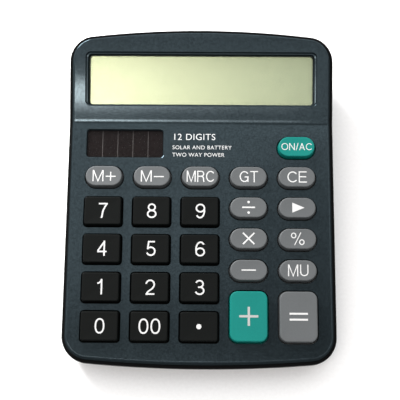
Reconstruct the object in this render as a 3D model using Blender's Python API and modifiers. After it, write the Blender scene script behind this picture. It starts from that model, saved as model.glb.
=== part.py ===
"""Desk calculator: a wedge-shaped two-part case, a sloped display, a solar cell and 26 travelling keys.

World axes: X to the right, Y to the rear, Z up, in metres. The origin is on the table, under the case.
Two empties carry the sloped faces. Both sit on the crease where the keypad deck meets the display panel:
"deck_frame" has its Y up the keypad deck, and "display_frame" has its Y up the display panel.
"""

import math

import bmesh
import bpy
from mathutils import Matrix, Vector

MM = 0.001
GAP = 0.3 * MM  # air between neighbouring pieces that touch on the real object

# Case outline, seen from above, at its widest: the rim of the bottom housing
CASE_WIDTH = 118.3 * MM
CASE_DEPTH = 148.2 * MM
FRONT_BULGE_RADIUS = 570.0 * MM
REAR_BULGE_RADIUS = 450.0 * MM
FRONT_CORNER_RADIUS = 11.5 * MM
REAR_CORNER_RADIUS = 11.0 * MM
CORNER_STEPS = 5
BULGE_STEPS = 6

# Side profile: two planes that meet at the crease
CREASE_Y = 34.8 * MM
CREASE_Z = 26.0 * MM
DECK_SLOPE = math.radians(6.0)
DISPLAY_SLOPE = math.radians(18.5)
SEAM_DROP = 2.0 * MM  # from the top face down to the parting line
BASE_Z = 2.0 * MM  # underside of the bottom housing, above the table

# Housing walls
DECK_THICKNESS = 2.0 * MM
WALL = 2.0 * MM
RIM_STEP = 1.3 * MM  # how far the bottom housing's rim stands out past the top housing
SKIRT_DRAFT = 0.5 * MM
TOP_EDGE_RADIUS = 0.8 * MM
LIP_DEPTH = 1.5 * MM
LIP_THICKNESS = 0.8 * MM
BASE_INSET = 2.2 * MM
FLOOR_Z = BASE_Z + WALL

# Keys, in the deck frame. V is the distance up the deck from the crease, so it is negative on the keypad.
KEY_PITCH_X = 21.25 * MM
KEY_WIDTH = 16.6 * MM
KEY_HEIGHT = 3.0 * MM  # above the deck
KEY_TRAVEL = 1.5 * MM
KEY_CLEARANCE = 0.4 * MM
KEY_DRAFT = 0.35 * MM
KEY_EDGE = 0.4 * MM
OVAL_LENGTH = 9.6 * MM
DIGIT_LENGTH = 13.0 * MM
BIG_LENGTH = 22.1 * MM
DIGIT_CORNER = 1.3 * MM
BIG_CORNER = 3.6 * MM
OVAL_CORNER = 4.5 * MM
FUNCTION_PITCH = 13.8 * MM
ON_ROW_V = -12.7 * MM
MEMORY_ROW_V = ON_ROW_V - FUNCTION_PITCH
KEYPAD_FRONT_V = -98.8 * MM
DIGIT_PITCH = 16.73 * MM
ZERO_ROW_V = KEYPAD_FRONT_V + DIGIT_LENGTH / 2
BIG_ROW_V = KEYPAD_FRONT_V + BIG_LENGTH / 2
FLANGE_SIDE = 0.9 * MM
FLANGE_END = 0.35 * MM
FLANGE_THICKNESS = 1.0 * MM
KEY_SKIN = 1.2 * MM
PLUNGER_RADIUS = 1.7 * MM

# Stack under the deck, as depths below the deck's top face
FLANGE_TOP = DECK_THICKNESS + GAP
FLANGE_BOTTOM = FLANGE_TOP + FLANGE_THICKNESS
PLUNGER_END = FLANGE_BOTTOM + GAP
DOME_TOP = PLUNGER_END + GAP
SHEET_TOP = DOME_TOP + 3.1 * MM
SHEET_BOTTOM = SHEET_TOP + 0.6 * MM
BOARD_TOP = SHEET_BOTTOM + GAP
BOARD_BOTTOM = BOARD_TOP + 1.2 * MM

# Rubber keypad
DOME_BASE_RADIUS = 4.2 * MM
DOME_TOP_RADIUS = 2.5 * MM
DOME_WALL = 0.8 * MM
PILL_RADIUS = 1.5 * MM
PILL_GAP = KEY_TRAVEL  # from the pill to the board
DOME_SIDES = 8
SHEET_HALF_WIDTH = 51.3 * MM
SHEET_FRONT_V = -99.6 * MM
SHEET_REAR_V = -20.7 * MM
ON_TAB_LEFT = 32.5 * MM
ON_TAB_REAR_V = -7.2 * MM

# Display, in the display frame. S is the distance up the display panel from the crease.
RECESS_HALF_WIDTH = 51.8 * MM  # the display opening at the top face
RECESS_LOW_S = 6.5 * MM
RECESS_HIGH_S = 30.6 * MM
RECESS_CORNER = 2.2 * MM
WINDOW_HALF_WIDTH = 50.4 * MM  # the same opening at the foot of its sloped walls
WINDOW_LOW_S = 7.4 * MM
WINDOW_HIGH_S = 29.5 * MM
WINDOW_CORNER = 1.4 * MM
WINDOW_DEPTH = 3.1 * MM
LEDGE_DEPTH = 1.0 * MM  # a narrow ledge runs round inside the opening
LEDGE_OUTER = 0.25 * MM
LEDGE_INNER = 0.75 * MM
WELL_DEPTH = 4.6 * MM
WELL_WALL = 1.0 * MM
LENS_OVERLAP = 0.6 * MM  # how far the lens reaches under the housing
LENS_TOP = WINDOW_DEPTH + GAP
LENS_THICKNESS = 1.0 * MM
LCD_HALF_WIDTH = 51.6 * MM
LCD_LOW_S = 3.8 * MM
LCD_HIGH_S = 29.9 * MM
LCD_TOP = WELL_DEPTH + GAP
LCD_THICKNESS = 2.6 * MM
BRACKET_HALF_WIDTH = 54.2 * MM
BRACKET_LOW_S = 8.2 * MM
BRACKET_HIGH_S = 28.8 * MM
BRACKET_TOP = LCD_TOP + LCD_THICKNESS + GAP
BRACKET_THICKNESS = 1.3 * MM
HOOK_HALF_LENGTH = 4.0 * MM
HOOK_THICKNESS = 1.3 * MM
HOOK_NOSE = 1.0 * MM

# Solar cell, in the deck frame
SOLAR_CENTRE_X = -33.8 * MM
SOLAR_CENTRE_V = -10.8 * MM
SOLAR_HALF_WIDTH = 17.0 * MM
SOLAR_HALF_LENGTH = 6.25 * MM
SOLAR_CORNER = 1.3 * MM
SOLAR_COVER_TOP = 0.7 * MM
SOLAR_COVER_THICKNESS = 0.8 * MM
SOLAR_MARGIN = 1.5 * MM
SOLAR_THICKNESS = 1.1 * MM

# Board outline, in the deck frame
BOARD_HALF_WIDTH = 51.3 * MM
BOARD_FRONT_V = -104.6 * MM
BOARD_REAR_V = -4.4 * MM
BOARD_NOTCH_LEFT = 44.5 * MM
BOARD_NOTCH_V = -97.0 * MM
BOARD_SCREWS = (
    (-31.9 * MM, -102.6 * MM),
    (31.9 * MM, -102.6 * MM),
    (-11.5 * MM, -10.6 * MM),
    (27.0 * MM, -10.6 * MM),
)
BOARD_POST_RADIUS = 2.1 * MM
BOARD_PILOT_RADIUS = 1.05 * MM
BOARD_SHANK_RADIUS = 0.75 * MM
BOARD_HEAD_RADIUS = 1.8 * MM
BOARD_HEAD_HEIGHT = 1.1 * MM
BOARD_SCREW_LENGTH = 4.6 * MM

# Case screws: (x, y, height of the joint between the two bosses)
FRONT_JOINT_Z = 6.4 * MM
CENTRE_JOINT_Z = 11.0 * MM
REAR_JOINT_Z = 15.0 * MM
CASE_SCREWS = {
    "front_left": (-48.0 * MM, -66.5 * MM, FRONT_JOINT_Z),
    "front_right": (48.0 * MM, -66.5 * MM, FRONT_JOINT_Z),
    "centre": (0.0, 22.3 * MM, CENTRE_JOINT_Z),
    "rear_left": (-47.0 * MM, 34.6 * MM, REAR_JOINT_Z),
    "rear_right": (47.0 * MM, 34.6 * MM, REAR_JOINT_Z),
}
TOP_BOSS_RADIUS = 2.3 * MM
TOP_PILOT_RADIUS = 1.2 * MM
TOP_PILOT_DEPTH = 8.0 * MM
BASE_BOSS_RADIUS = 3.35 * MM
COUNTERBORE_RADIUS = 2.5 * MM
BOSS_WEB = 1.9 * MM
SCREW_HOLE_RADIUS = 1.4 * MM
SHANK_RADIUS = 1.0 * MM
HEAD_RADIUS = 2.1 * MM
HEAD_HEIGHT = 1.7 * MM
SCREW_LENGTH = 7.0 * MM

# Battery compartment, across the rear of the bottom housing
CELL_RADIUS = 7.2 * MM
CELL_LENGTH = 49.2 * MM
CELL_NUB = 1.2 * MM
CELL_NUB_RADIUS = 2.7 * MM
BATTERY_Y = 59.2 * MM
BATTERY_Z = 11.9 * MM
BAY_HALF_LENGTH = 27.9 * MM
BAY_HALF_WIDTH = 7.9 * MM
BAY_TOP_Z = 19.5 * MM
BAY_WALL = 1.5 * MM
BAY_END_WALL = 4.0 * MM
CONTACT_SLOT_Z = 15.4 * MM
CONTACT_SLOT_HALF_WIDTH = 2.0 * MM
CONTACT_SLOT_HEIGHT = 1.4 * MM
SHEET_METAL = 0.4 * MM
SPRING_WIRE_RADIUS = 0.35 * MM
SPRING_TURNS = 3.5
SPRING_STEPS = 10

# Battery door, which slides out to the rear
DOOR_HALF_WIDTH = 27.6 * MM
DOOR_TONGUE = 2.0 * MM
DOOR_FRONT_Y = 49.8 * MM
DOOR_REAR_Y = 70.8 * MM
DOOR_STEP_Z = 3.0 * MM
DOOR_SLOT_TOP_Z = 4.2 * MM
GRIP_RIDGES = 5
GRIP_PITCH = 1.6 * MM

# Feet
FOOT_RADIUS = 4.6 * MM
FOOT_RECESS = 0.8 * MM
FEET = {
    "front_left": (-40.0 * MM, -61.2 * MM),
    "front_right": (40.0 * MM, -61.2 * MM),
    "rear_left": (-45.5 * MM, 61.0 * MM),
    "rear_right": (45.5 * MM, 61.0 * MM),
}

ROUND_STEPS = 16
FINE_STEPS = 20


# ---------------------------------------------------------------- scene and materials


def clear_scene():
    for obj in list(bpy.data.objects):
        bpy.data.objects.remove(obj, do_unlink=True)


def make_collection(name):
    collection = bpy.data.collections.new(name)
    bpy.context.scene.collection.children.link(collection)
    return collection


def make_material(name, colour, roughness, metallic=0.0, transmission=0.0):
    material = bpy.data.materials.new(name)
    material.use_nodes = True
    shader = material.node_tree.nodes["Principled BSDF"]
    shader.inputs["Base Color"].default_value = (*colour, 1.0)
    shader.inputs["Roughness"].default_value = roughness
    shader.inputs["Metallic"].default_value = metallic
    shader.inputs["Transmission Weight"].default_value = transmission
    return material


clear_scene()
PARTS = make_collection("desk_calculator")
CUTTERS = make_collection("cutters")

SLATE = make_material("slate_case", (0.050, 0.065, 0.075), 0.45)
BLACK = make_material("black_case", (0.010, 0.011, 0.012), 0.55)
KEY_BLACK = make_material("black_key", (0.014, 0.015, 0.016), 0.50)
KEY_GREY = make_material("grey_key", (0.215, 0.220, 0.230), 0.50)
KEY_TEAL = make_material("teal_key", (0.015, 0.330, 0.260), 0.50)
CLEAR = make_material("clear_window", (0.90, 0.92, 0.92), 0.05, transmission=1.0)
LCD_GREEN = make_material("lcd_glass", (0.450, 0.480, 0.270), 0.20)
SOLAR_BROWN = make_material("solar_glass", (0.022, 0.013, 0.012), 0.15)
RUBBER = make_material("rubber", (0.30, 0.31, 0.31), 0.80)
FOOT_RUBBER = make_material("foot_rubber", (0.020, 0.020, 0.021), 0.85)
BOARD = make_material("board", (0.130, 0.240, 0.070), 0.50)
RESIN = make_material("resin", (0.012, 0.012, 0.012), 0.30)
WHITE_PLASTIC = make_material("white_plastic", (0.70, 0.70, 0.68), 0.50)
STEEL = make_material("steel", (0.56, 0.57, 0.58), 0.30, metallic=1.0)
CELL_JACKET = make_material("cell_jacket", (0.080, 0.120, 0.180), 0.35)
CAPACITOR_SLEEVE = make_material("capacitor_sleeve", (0.020, 0.030, 0.080), 0.40)
RESISTOR_BODY = make_material("resistor_body", (0.520, 0.400, 0.260), 0.60)
RIBBON = make_material("ribbon", (0.400, 0.170, 0.040), 0.40)
WIRE_RED = make_material("wire_red", (0.480, 0.020, 0.018), 0.40)
WIRE_BLACK = make_material("wire_black", (0.015, 0.015, 0.015), 0.40)


def make_frame(name, slope):
    """An empty on the crease, with its Y up the slope and its Z out of the face."""
    empty = bpy.data.objects.new(name, None)
    empty.location = (0.0, CREASE_Y, CREASE_Z)
    empty.rotation_euler = (slope, 0.0, 0.0)
    PARTS.objects.link(empty)
    return empty


DECK = make_frame("deck_frame", DECK_SLOPE)
DISPLAY = make_frame("display_frame", DISPLAY_SLOPE)
bpy.context.view_layer.update()


# ---------------------------------------------------------------- building tools


def place(obj, material=None, parent=None, location=(0, 0, 0), rotation=(0, 0, 0)):
    """Puts an object with the parts if it has a material, and with the cutters if not."""
    obj.location = location
    obj.rotation_euler = rotation
    obj.parent = parent
    if material:
        obj.data.materials.append(material)
        PARTS.objects.link(obj)
    else:
        obj.hide_render = True
        obj.display_type = "WIRE"
        CUTTERS.objects.link(obj)
    return obj


def object_from(shape, name):
    """A mesh object from a bmesh of closed bodies."""
    data = bpy.data.meshes.new(name)
    shape.to_mesh(data)
    shape.free()
    return bpy.data.objects.new(name, data)


def add_loft(shape, rings, split_at=()):
    """Adds a closed body through rings of equally many points; split_at is where its caps fold."""
    loops = [[shape.verts.new(point) for point in ring] for ring in rings]
    count = len(loops[0])
    faces = []
    for near, far in zip(loops, loops[1:]):
        for i in range(count):
            j = (i + 1) % count
            faces.append(shape.faces.new((near[i], near[j], far[j], far[i])))
    for loop in (loops[0], loops[-1]):
        cap = shape.faces.new(loop)
        faces.append(cap)
        if split_at:
            faces.append(bmesh.utils.face_split(cap, loop[split_at[0]], loop[split_at[1]])[0])
    bmesh.ops.recalc_face_normals(shape, faces=faces)
    volume = sum(
        face.calc_area() * face.normal.dot(face.calc_center_median()) for face in faces
    )
    if volume < 0:
        bmesh.ops.reverse_faces(shape, faces=faces)


def loft(name, rings, split_at=()):
    shape = bmesh.new()
    add_loft(shape, rings, split_at)
    return object_from(shape, name)


def add_box(shape, low, high):
    size = Vector(high) - Vector(low)
    centre = (Vector(high) + Vector(low)) / 2
    matrix = Matrix.Translation(centre) @ Matrix.Diagonal((*size, 1.0))
    bmesh.ops.create_cube(shape, size=1.0, matrix=matrix)


def box(name, *corners):
    """One mesh object of boxes, each given by its low and high corner."""
    shape = bmesh.new()
    for low, high in corners:
        add_box(shape, low, high)
    return object_from(shape, name)


def add_cylinder(shape, x, y, low, high, radius, top_radius=None, steps=ROUND_STEPS):
    bmesh.ops.create_cone(
        shape,
        cap_ends=True,
        segments=steps,
        radius1=radius,
        radius2=radius if top_radius is None else top_radius,
        depth=high - low,
        matrix=Matrix.Translation((x, y, (low + high) / 2)),
    )


def cylinders(name, *rows, steps=ROUND_STEPS):
    """One mesh object of upright cylinders, each (x, y, low, high, radius)."""
    shape = bmesh.new()
    for row in rows:
        add_cylinder(shape, *row, steps=steps)
    return object_from(shape, name)


def turned(name, profile, steps=ROUND_STEPS):
    """A solid of revolution about Z. The profile of (radius, z) runs down its outer side."""
    data = bpy.data.meshes.new(name)
    points = [(radius, 0.0, z) for radius, z in profile]
    data.from_pydata(points, [(i, i + 1) for i in range(len(points) - 1)], [])
    obj = bpy.data.objects.new(name, data)
    screw = obj.modifiers.new("turn", "SCREW")
    screw.axis = "Z"
    screw.steps = steps
    screw.render_steps = steps
    screw.use_merge_vertices = True
    screw.merge_threshold = 1e-6
    return obj


def plate(name, outlines, low, high):
    """A flat piece from closed outlines of (x, y) points, the inner ones being its holes."""
    curve = bpy.data.curves.new(name, "CURVE")
    curve.dimensions = "2D"
    curve.fill_mode = "BOTH"
    curve.extrude = (high - low) / 2
    for outline in outlines:
        spline = curve.splines.new("POLY")
        spline.points.add(len(outline) - 1)
        for point, (x, y) in zip(spline.points, outline):
            point.co = (x, y, 0.0, 1.0)
        spline.use_cyclic_u = True
    source = bpy.data.objects.new(name + "_curve", curve)
    bpy.context.scene.collection.objects.link(source)
    graph = bpy.context.evaluated_depsgraph_get()
    data = bpy.data.meshes.new_from_object(source.evaluated_get(graph))
    bpy.data.objects.remove(source)
    shape = bmesh.new()
    shape.from_mesh(data)
    bpy.data.meshes.remove(data)
    bmesh.ops.remove_doubles(shape, verts=shape.verts, dist=1e-6)
    bmesh.ops.translate(shape, verts=shape.verts, vec=(0, 0, (low + high) / 2))
    bmesh.ops.recalc_face_normals(shape, faces=shape.faces)
    return object_from(shape, name)


def wire(name, points, radius):
    """A round wire through points, with closed ends."""
    curve = bpy.data.curves.new(name, "CURVE")
    curve.dimensions = "3D"
    curve.bevel_depth = radius
    curve.bevel_resolution = 1
    curve.use_fill_caps = True
    spline = curve.splines.new("POLY")
    spline.points.add(len(points) - 1)
    for point, place_at in zip(spline.points, points):
        point.co = (*place_at, 1.0)
    return bpy.data.objects.new(name, curve)


def smooth_path(corners, steps=4):
    """Points along a smooth curve through the corners."""
    ends = [corners[0], *corners, corners[-1]]
    path = []
    for before, start, end, after in zip(ends, ends[1:], ends[2:], ends[3:]):
        for i in range(steps):
            t = i / steps
            path.append(
                Vector(start) * (1 - 3 * t * t + 2 * t**3)
                + Vector(end) * (3 * t * t - 2 * t**3)
                + (Vector(end) - Vector(before)) * (t - 2 * t * t + t**3) / 2
                + (Vector(after) - Vector(start)) * (t**3 - t * t) / 2
            )
    return [*path, Vector(corners[-1])]


def combine(target, other, operation):
    """A Boolean of the target with a helper, which goes with the cutters."""
    if not other.users_collection:
        place(other)
    boolean = target.modifiers.new(other.name, "BOOLEAN")
    boolean.operation = operation
    boolean.object = other
    boolean.solver = "EXACT"


def cut(target, *cutters):
    for cutter in cutters:
        combine(target, cutter, "DIFFERENCE")


def join(target, *others):
    for other in others:
        combine(target, other, "UNION")


# ---------------------------------------------------------------- outlines


def arc(centre, radius, start, end, steps):
    """Points from the start angle to the end angle, both included."""
    turn = [start + (end - start) * i / steps for i in range(steps + 1)]
    return [
        (centre[0] + radius * math.cos(a), centre[1] + radius * math.sin(a))
        for a in turn
    ]


def corner_centre(end_y, bulge_radius, corner_radius, side):
    """The right-hand corner's centre and angle; side is 1 at the rear and -1 at the front."""
    bulge_y = end_y - side * bulge_radius
    x = CASE_WIDTH / 2 - corner_radius
    reach = math.sqrt((bulge_radius - corner_radius) ** 2 - x**2)
    return (x, bulge_y + side * reach), math.atan2(reach, x), bulge_y


def case_outline(inset):
    """The case outline, anticlockwise from the right-hand crease point, moved in by inset."""
    half_depth = CASE_DEPTH / 2
    rear, rear_angle, rear_bulge_y = corner_centre(
        half_depth, REAR_BULGE_RADIUS, REAR_CORNER_RADIUS, 1
    )
    front, front_angle, front_bulge_y = corner_centre(
        -half_depth, FRONT_BULGE_RADIUS, FRONT_CORNER_RADIUS, -1
    )
    side_x = CASE_WIDTH / 2 - inset
    rear_corner = arc(rear, REAR_CORNER_RADIUS - inset, 0, rear_angle, CORNER_STEPS)
    rear_bulge = arc(
        (0, rear_bulge_y),
        REAR_BULGE_RADIUS - inset,
        rear_angle,
        math.pi - rear_angle,
        BULGE_STEPS,
    )
    front_corner = arc(front, FRONT_CORNER_RADIUS - inset, -front_angle, 0, CORNER_STEPS)
    front_bulge = arc(
        (0, front_bulge_y),
        FRONT_BULGE_RADIUS - inset,
        math.pi + front_angle,
        2 * math.pi - front_angle,
        BULGE_STEPS,
    )
    rear_left = [(-x, y) for x, y in reversed(rear_corner)]
    front_left = [(-x, y) for x, y in reversed(front_corner)]
    return [
        (side_x, CREASE_Y),
        *rear_corner,
        *rear_bulge[1:-1],
        *rear_left,
        (-side_x, CREASE_Y),
        *front_left,
        *front_bulge[1:-1],
        *front_corner,
    ]


CREASE_POINTS = (0, 1 + 2 * (CORNER_STEPS + 1) + BULGE_STEPS - 1)


def top_z(y):
    """Height of the case's top face."""
    slope = DECK_SLOPE if y < CREASE_Y else DISPLAY_SLOPE
    return CREASE_Z + (y - CREASE_Y) * math.tan(slope)


def case_ring(inset, drop):
    """A ring at a depth below the top face."""
    return [(x, y, top_z(y) - drop) for x, y in case_outline(inset)]


def level_ring(inset, z):
    return [(x, y, z) for x, y in case_outline(inset)]


def mixed_ring(inset, share):
    """A ring at a share of the way from the base up to the parting line."""
    return [
        (x, y, BASE_Z + (top_z(y) - SEAM_DROP - BASE_Z) * share)
        for x, y in case_outline(inset)
    ]


def rounded_box(half_x, half_y, radius, steps):
    """A rounded rectangle about the origin, anticlockwise."""
    corners = (
        ((half_x - radius, half_y - radius), 0.0),
        ((radius - half_x, half_y - radius), 0.5 * math.pi),
        ((radius - half_x, radius - half_y), math.pi),
        ((half_x - radius, radius - half_y), 1.5 * math.pi),
    )
    outline = []
    for centre, start in corners:
        outline += arc(centre, radius, start, start + 0.5 * math.pi, steps)
    return outline


def panel_ring(half_width, low, high, corner, z, steps=3):
    """A rounded rectangle between two distances up its panel."""
    middle = (low + high) / 2
    outline = rounded_box(half_width, (high - low) / 2, corner, steps)
    return [(x, y + middle, z) for x, y in outline]


# ---------------------------------------------------------------- keys

KEY_SHAPES = {
    "oval": (OVAL_LENGTH, OVAL_CORNER, 2),
    "digit": (DIGIT_LENGTH, DIGIT_CORNER, 1),
    "big": (BIG_LENGTH, BIG_CORNER, 2),
}


def function_row(index):
    return MEMORY_ROW_V - index * FUNCTION_PITCH


def digit_row(index):
    return ZERO_ROW_V + index * DIGIT_PITCH


# name: (column counted from the middle, V, shape, material)
KEYS = {
    "key_on": (2, ON_ROW_V, "oval", KEY_TEAL),
    "key_m_plus": (-2, MEMORY_ROW_V, "oval", KEY_GREY),
    "key_m_minus": (-1, MEMORY_ROW_V, "oval", KEY_GREY),
    "key_mrc": (0, MEMORY_ROW_V, "oval", KEY_GREY),
    "key_gt": (1, MEMORY_ROW_V, "oval", KEY_GREY),
    "key_ce": (2, MEMORY_ROW_V, "oval", KEY_GREY),
    "key_divide": (1, function_row(1), "oval", KEY_GREY),
    "key_backspace": (2, function_row(1), "oval", KEY_GREY),
    "key_multiply": (1, function_row(2), "oval", KEY_GREY),
    "key_percent": (2, function_row(2), "oval", KEY_GREY),
    "key_subtract": (1, function_row(3), "oval", KEY_GREY),
    "key_mark_up": (2, function_row(3), "oval", KEY_GREY),
    "key_add": (1, BIG_ROW_V, "big", KEY_TEAL),
    "key_equals": (2, BIG_ROW_V, "big", KEY_GREY),
    "key_7": (-2, digit_row(3), "digit", KEY_BLACK),
    "key_8": (-1, digit_row(3), "digit", KEY_BLACK),
    "key_9": (0, digit_row(3), "digit", KEY_BLACK),
    "key_4": (-2, digit_row(2), "digit", KEY_BLACK),
    "key_5": (-1, digit_row(2), "digit", KEY_BLACK),
    "key_6": (0, digit_row(2), "digit", KEY_BLACK),
    "key_1": (-2, digit_row(1), "digit", KEY_BLACK),
    "key_2": (-1, digit_row(1), "digit", KEY_BLACK),
    "key_3": (0, digit_row(1), "digit", KEY_BLACK),
    "key_0": (-2, digit_row(0), "digit", KEY_BLACK),
    "key_00": (-1, digit_row(0), "digit", KEY_BLACK),
    "key_point": (0, digit_row(0), "digit", KEY_BLACK),
}


def key_outline(shape, grow_x=0.0, grow_y=0.0):
    """A key's outline at its foot, with its ends and sides moved out by grow_x and grow_y."""
    length, corner, steps = KEY_SHAPES[shape]
    radius = max(corner + min(grow_x, grow_y), 0.3 * MM)
    return rounded_box(KEY_WIDTH / 2 + grow_x, length / 2 + grow_y, radius, steps)


def key_ring(shape, grow, z, grow_y=None):
    outline = key_outline(shape, grow, grow if grow_y is None else grow_y)
    return [(x, y, z) for x, y in outline]


def plunger_ring(shape, z):
    """The plunger's ring, with a point for each point of the key's outline."""
    angles = [math.atan2(y, x) for x, y in key_outline(shape)]
    return [
        (PLUNGER_RADIUS * math.cos(a), PLUNGER_RADIUS * math.sin(a), z) for a in angles
    ]


def keycap_rings(shape):
    """Down the outside, round the retaining flange, up the hollow and down the plunger."""
    return [
        key_ring(shape, -KEY_DRAFT - KEY_EDGE, KEY_HEIGHT),
        key_ring(shape, -KEY_DRAFT, KEY_HEIGHT - KEY_EDGE),
        key_ring(shape, 0.0, -FLANGE_TOP),
        key_ring(shape, FLANGE_SIDE, -FLANGE_TOP, FLANGE_END),
        key_ring(shape, FLANGE_SIDE, -FLANGE_BOTTOM, FLANGE_END),
        key_ring(shape, -KEY_SKIN, -FLANGE_BOTTOM),
        key_ring(shape, -KEY_SKIN - KEY_DRAFT, KEY_HEIGHT - KEY_SKIN),
        plunger_ring(shape, KEY_HEIGHT - KEY_SKIN),
        plunger_ring(shape, -PLUNGER_END),
    ]


def make_keys():
    for name, (column, v, shape, material) in KEYS.items():
        centre = (column * KEY_PITCH_X, v, 0.0)
        place(loft(name, keycap_rings(shape)), material, DECK, centre)


def key_holes():
    """The cutter for every key's hole in the deck."""
    shape = bmesh.new()
    for column, v, kind, _ in KEYS.values():
        rings = [key_ring(kind, KEY_CLEARANCE, z) for z in (-2 * DECK_THICKNESS, KEY_HEIGHT)]
        moved = [[(x + column * KEY_PITCH_X, y + v, z) for x, y, z in r] for r in rings]
        add_loft(shape, moved)
    return place(object_from(shape, "key_hole_cutter"), parent=DECK)


# ---------------------------------------------------------------- top housing


def boss_top(y):
    """Where a boss ends inside the top face's thickness."""
    return top_z(y) - 0.7 * DECK_THICKNESS


def bracket_hooks():
    """Two snap hooks that hold the LCD bracket by its ends."""
    shape = bmesh.new()
    middle_s = (BRACKET_LOW_S + BRACKET_HIGH_S) / 2
    inner_x = BRACKET_HALF_WIDTH + GAP
    nose_top = -BRACKET_TOP - BRACKET_THICKNESS - GAP
    section = (
        (inner_x, -0.8 * DECK_THICKNESS),
        (inner_x, nose_top),
        (inner_x - HOOK_NOSE, nose_top),
        (inner_x, nose_top - HOOK_NOSE),
        (inner_x + HOOK_THICKNESS, nose_top - HOOK_NOSE),
        (inner_x + HOOK_THICKNESS, -0.8 * DECK_THICKNESS),
    )
    for side in (-1, 1):
        ends = (middle_s - HOOK_HALF_LENGTH, middle_s + HOOK_HALF_LENGTH)
        add_loft(shape, [[(side * x, s, z) for x, z in section] for s in ends])
    return place(object_from(shape, "bracket_hooks"), parent=DISPLAY)


def make_top_housing():
    outer = [
        case_ring(RIM_STEP + SKIRT_DRAFT + TOP_EDGE_RADIUS, 0.0),
        case_ring(RIM_STEP + SKIRT_DRAFT + 0.45 * TOP_EDGE_RADIUS, 0.16 * TOP_EDGE_RADIUS),
        case_ring(RIM_STEP + SKIRT_DRAFT, TOP_EDGE_RADIUS),
        case_ring(RIM_STEP, SEAM_DROP - GAP / 2),
        case_ring(WALL + GAP, SEAM_DROP - GAP / 2),
        case_ring(WALL + GAP, SEAM_DROP + LIP_DEPTH),
    ]
    housing = place(loft("top_housing", outer, CREASE_POINTS), SLATE)
    lip_inset = WALL + GAP + LIP_THICKNESS
    inner = [
        case_ring(lip_inset + SKIRT_DRAFT, DECK_THICKNESS),
        case_ring(lip_inset, SEAM_DROP + 2 * LIP_DEPTH),
    ]
    cut(housing, loft("top_cavity", inner, CREASE_POINTS))

    bosses = [
        (x, y, joint_z + GAP / 2, boss_top(y), TOP_BOSS_RADIUS)
        for x, y, joint_z in CASE_SCREWS.values()
    ]
    posts = [
        (x, v, -BOARD_TOP + GAP, -0.5 * DECK_THICKNESS, BOARD_POST_RADIUS)
        for x, v in BOARD_SCREWS
    ]
    well = box(
        "display_well",
        (
            (-RECESS_HALF_WIDTH - WELL_WALL, RECESS_LOW_S - WELL_WALL, -WELL_DEPTH),
            (RECESS_HALF_WIDTH + WELL_WALL, RECESS_HIGH_S + WELL_WALL, -0.8 * DECK_THICKNESS),
        ),
    )
    join(
        housing,
        cylinders("case_bosses", *bosses, steps=12),
        place(cylinders("board_posts", *posts, steps=12), parent=DECK),
        place(well, parent=DISPLAY),
        bracket_hooks(),
    )

    opening = [
        panel_ring(WINDOW_HALF_WIDTH, WINDOW_LOW_S, WINDOW_HIGH_S, WINDOW_CORNER, z)
        for z in (-2 * WELL_DEPTH, -WINDOW_DEPTH)
    ]
    opening.append(ledge_ring(LEDGE_INNER, -LEDGE_DEPTH))
    opening.append(ledge_ring(LEDGE_OUTER, -LEDGE_DEPTH + 0.05 * MM))
    opening += [ledge_ring(0.0, z) for z in (0.0, WELL_DEPTH)]
    pocket = [lens_ring(GAP, z) for z in (-2 * WELL_DEPTH, -WINDOW_DEPTH)]
    solar = [
        solar_ring(0.0, z, SOLAR_CORNER) for z in (-2 * DECK_THICKNESS, DECK_THICKNESS)
    ]
    pilots = [
        (x, y, joint_z - GAP, joint_z + TOP_PILOT_DEPTH, TOP_PILOT_RADIUS)
        for x, y, joint_z in CASE_SCREWS.values()
    ]
    board_pilots = [
        (x, v, -2 * BOARD_TOP, -DECK_THICKNESS, BOARD_PILOT_RADIUS)
        for x, v in BOARD_SCREWS
    ]
    cut(
        housing,
        place(loft("display_opening", opening), parent=DISPLAY),
        place(loft("lens_pocket", pocket), parent=DISPLAY),
        place(loft("solar_opening", solar), parent=DECK),
        key_holes(),
        cylinders("case_pilots", *pilots, steps=10),
        place(cylinders("board_pilots", *board_pilots, steps=8), parent=DECK),
    )


def ledge_ring(inset, z):
    """The display opening's outline moved in by inset, less so at its front."""
    return panel_ring(
        RECESS_HALF_WIDTH - inset,
        RECESS_LOW_S + inset / 3,
        RECESS_HIGH_S - inset,
        RECESS_CORNER - inset / 2,
        z,
    )


def lens_ring(grow, z):
    """The lens outline, moved out by grow."""
    grow += LENS_OVERLAP
    return panel_ring(
        WINDOW_HALF_WIDTH + grow, WINDOW_LOW_S - grow, WINDOW_HIGH_S + grow, WINDOW_CORNER + grow, z
    )


def solar_ring(grow, z, corner):
    outline = rounded_box(SOLAR_HALF_WIDTH + grow, SOLAR_HALF_LENGTH + grow, corner, 2)
    return [(x + SOLAR_CENTRE_X, y + SOLAR_CENTRE_V, z) for x, y in outline]


# ---------------------------------------------------------------- bottom housing and door


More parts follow.
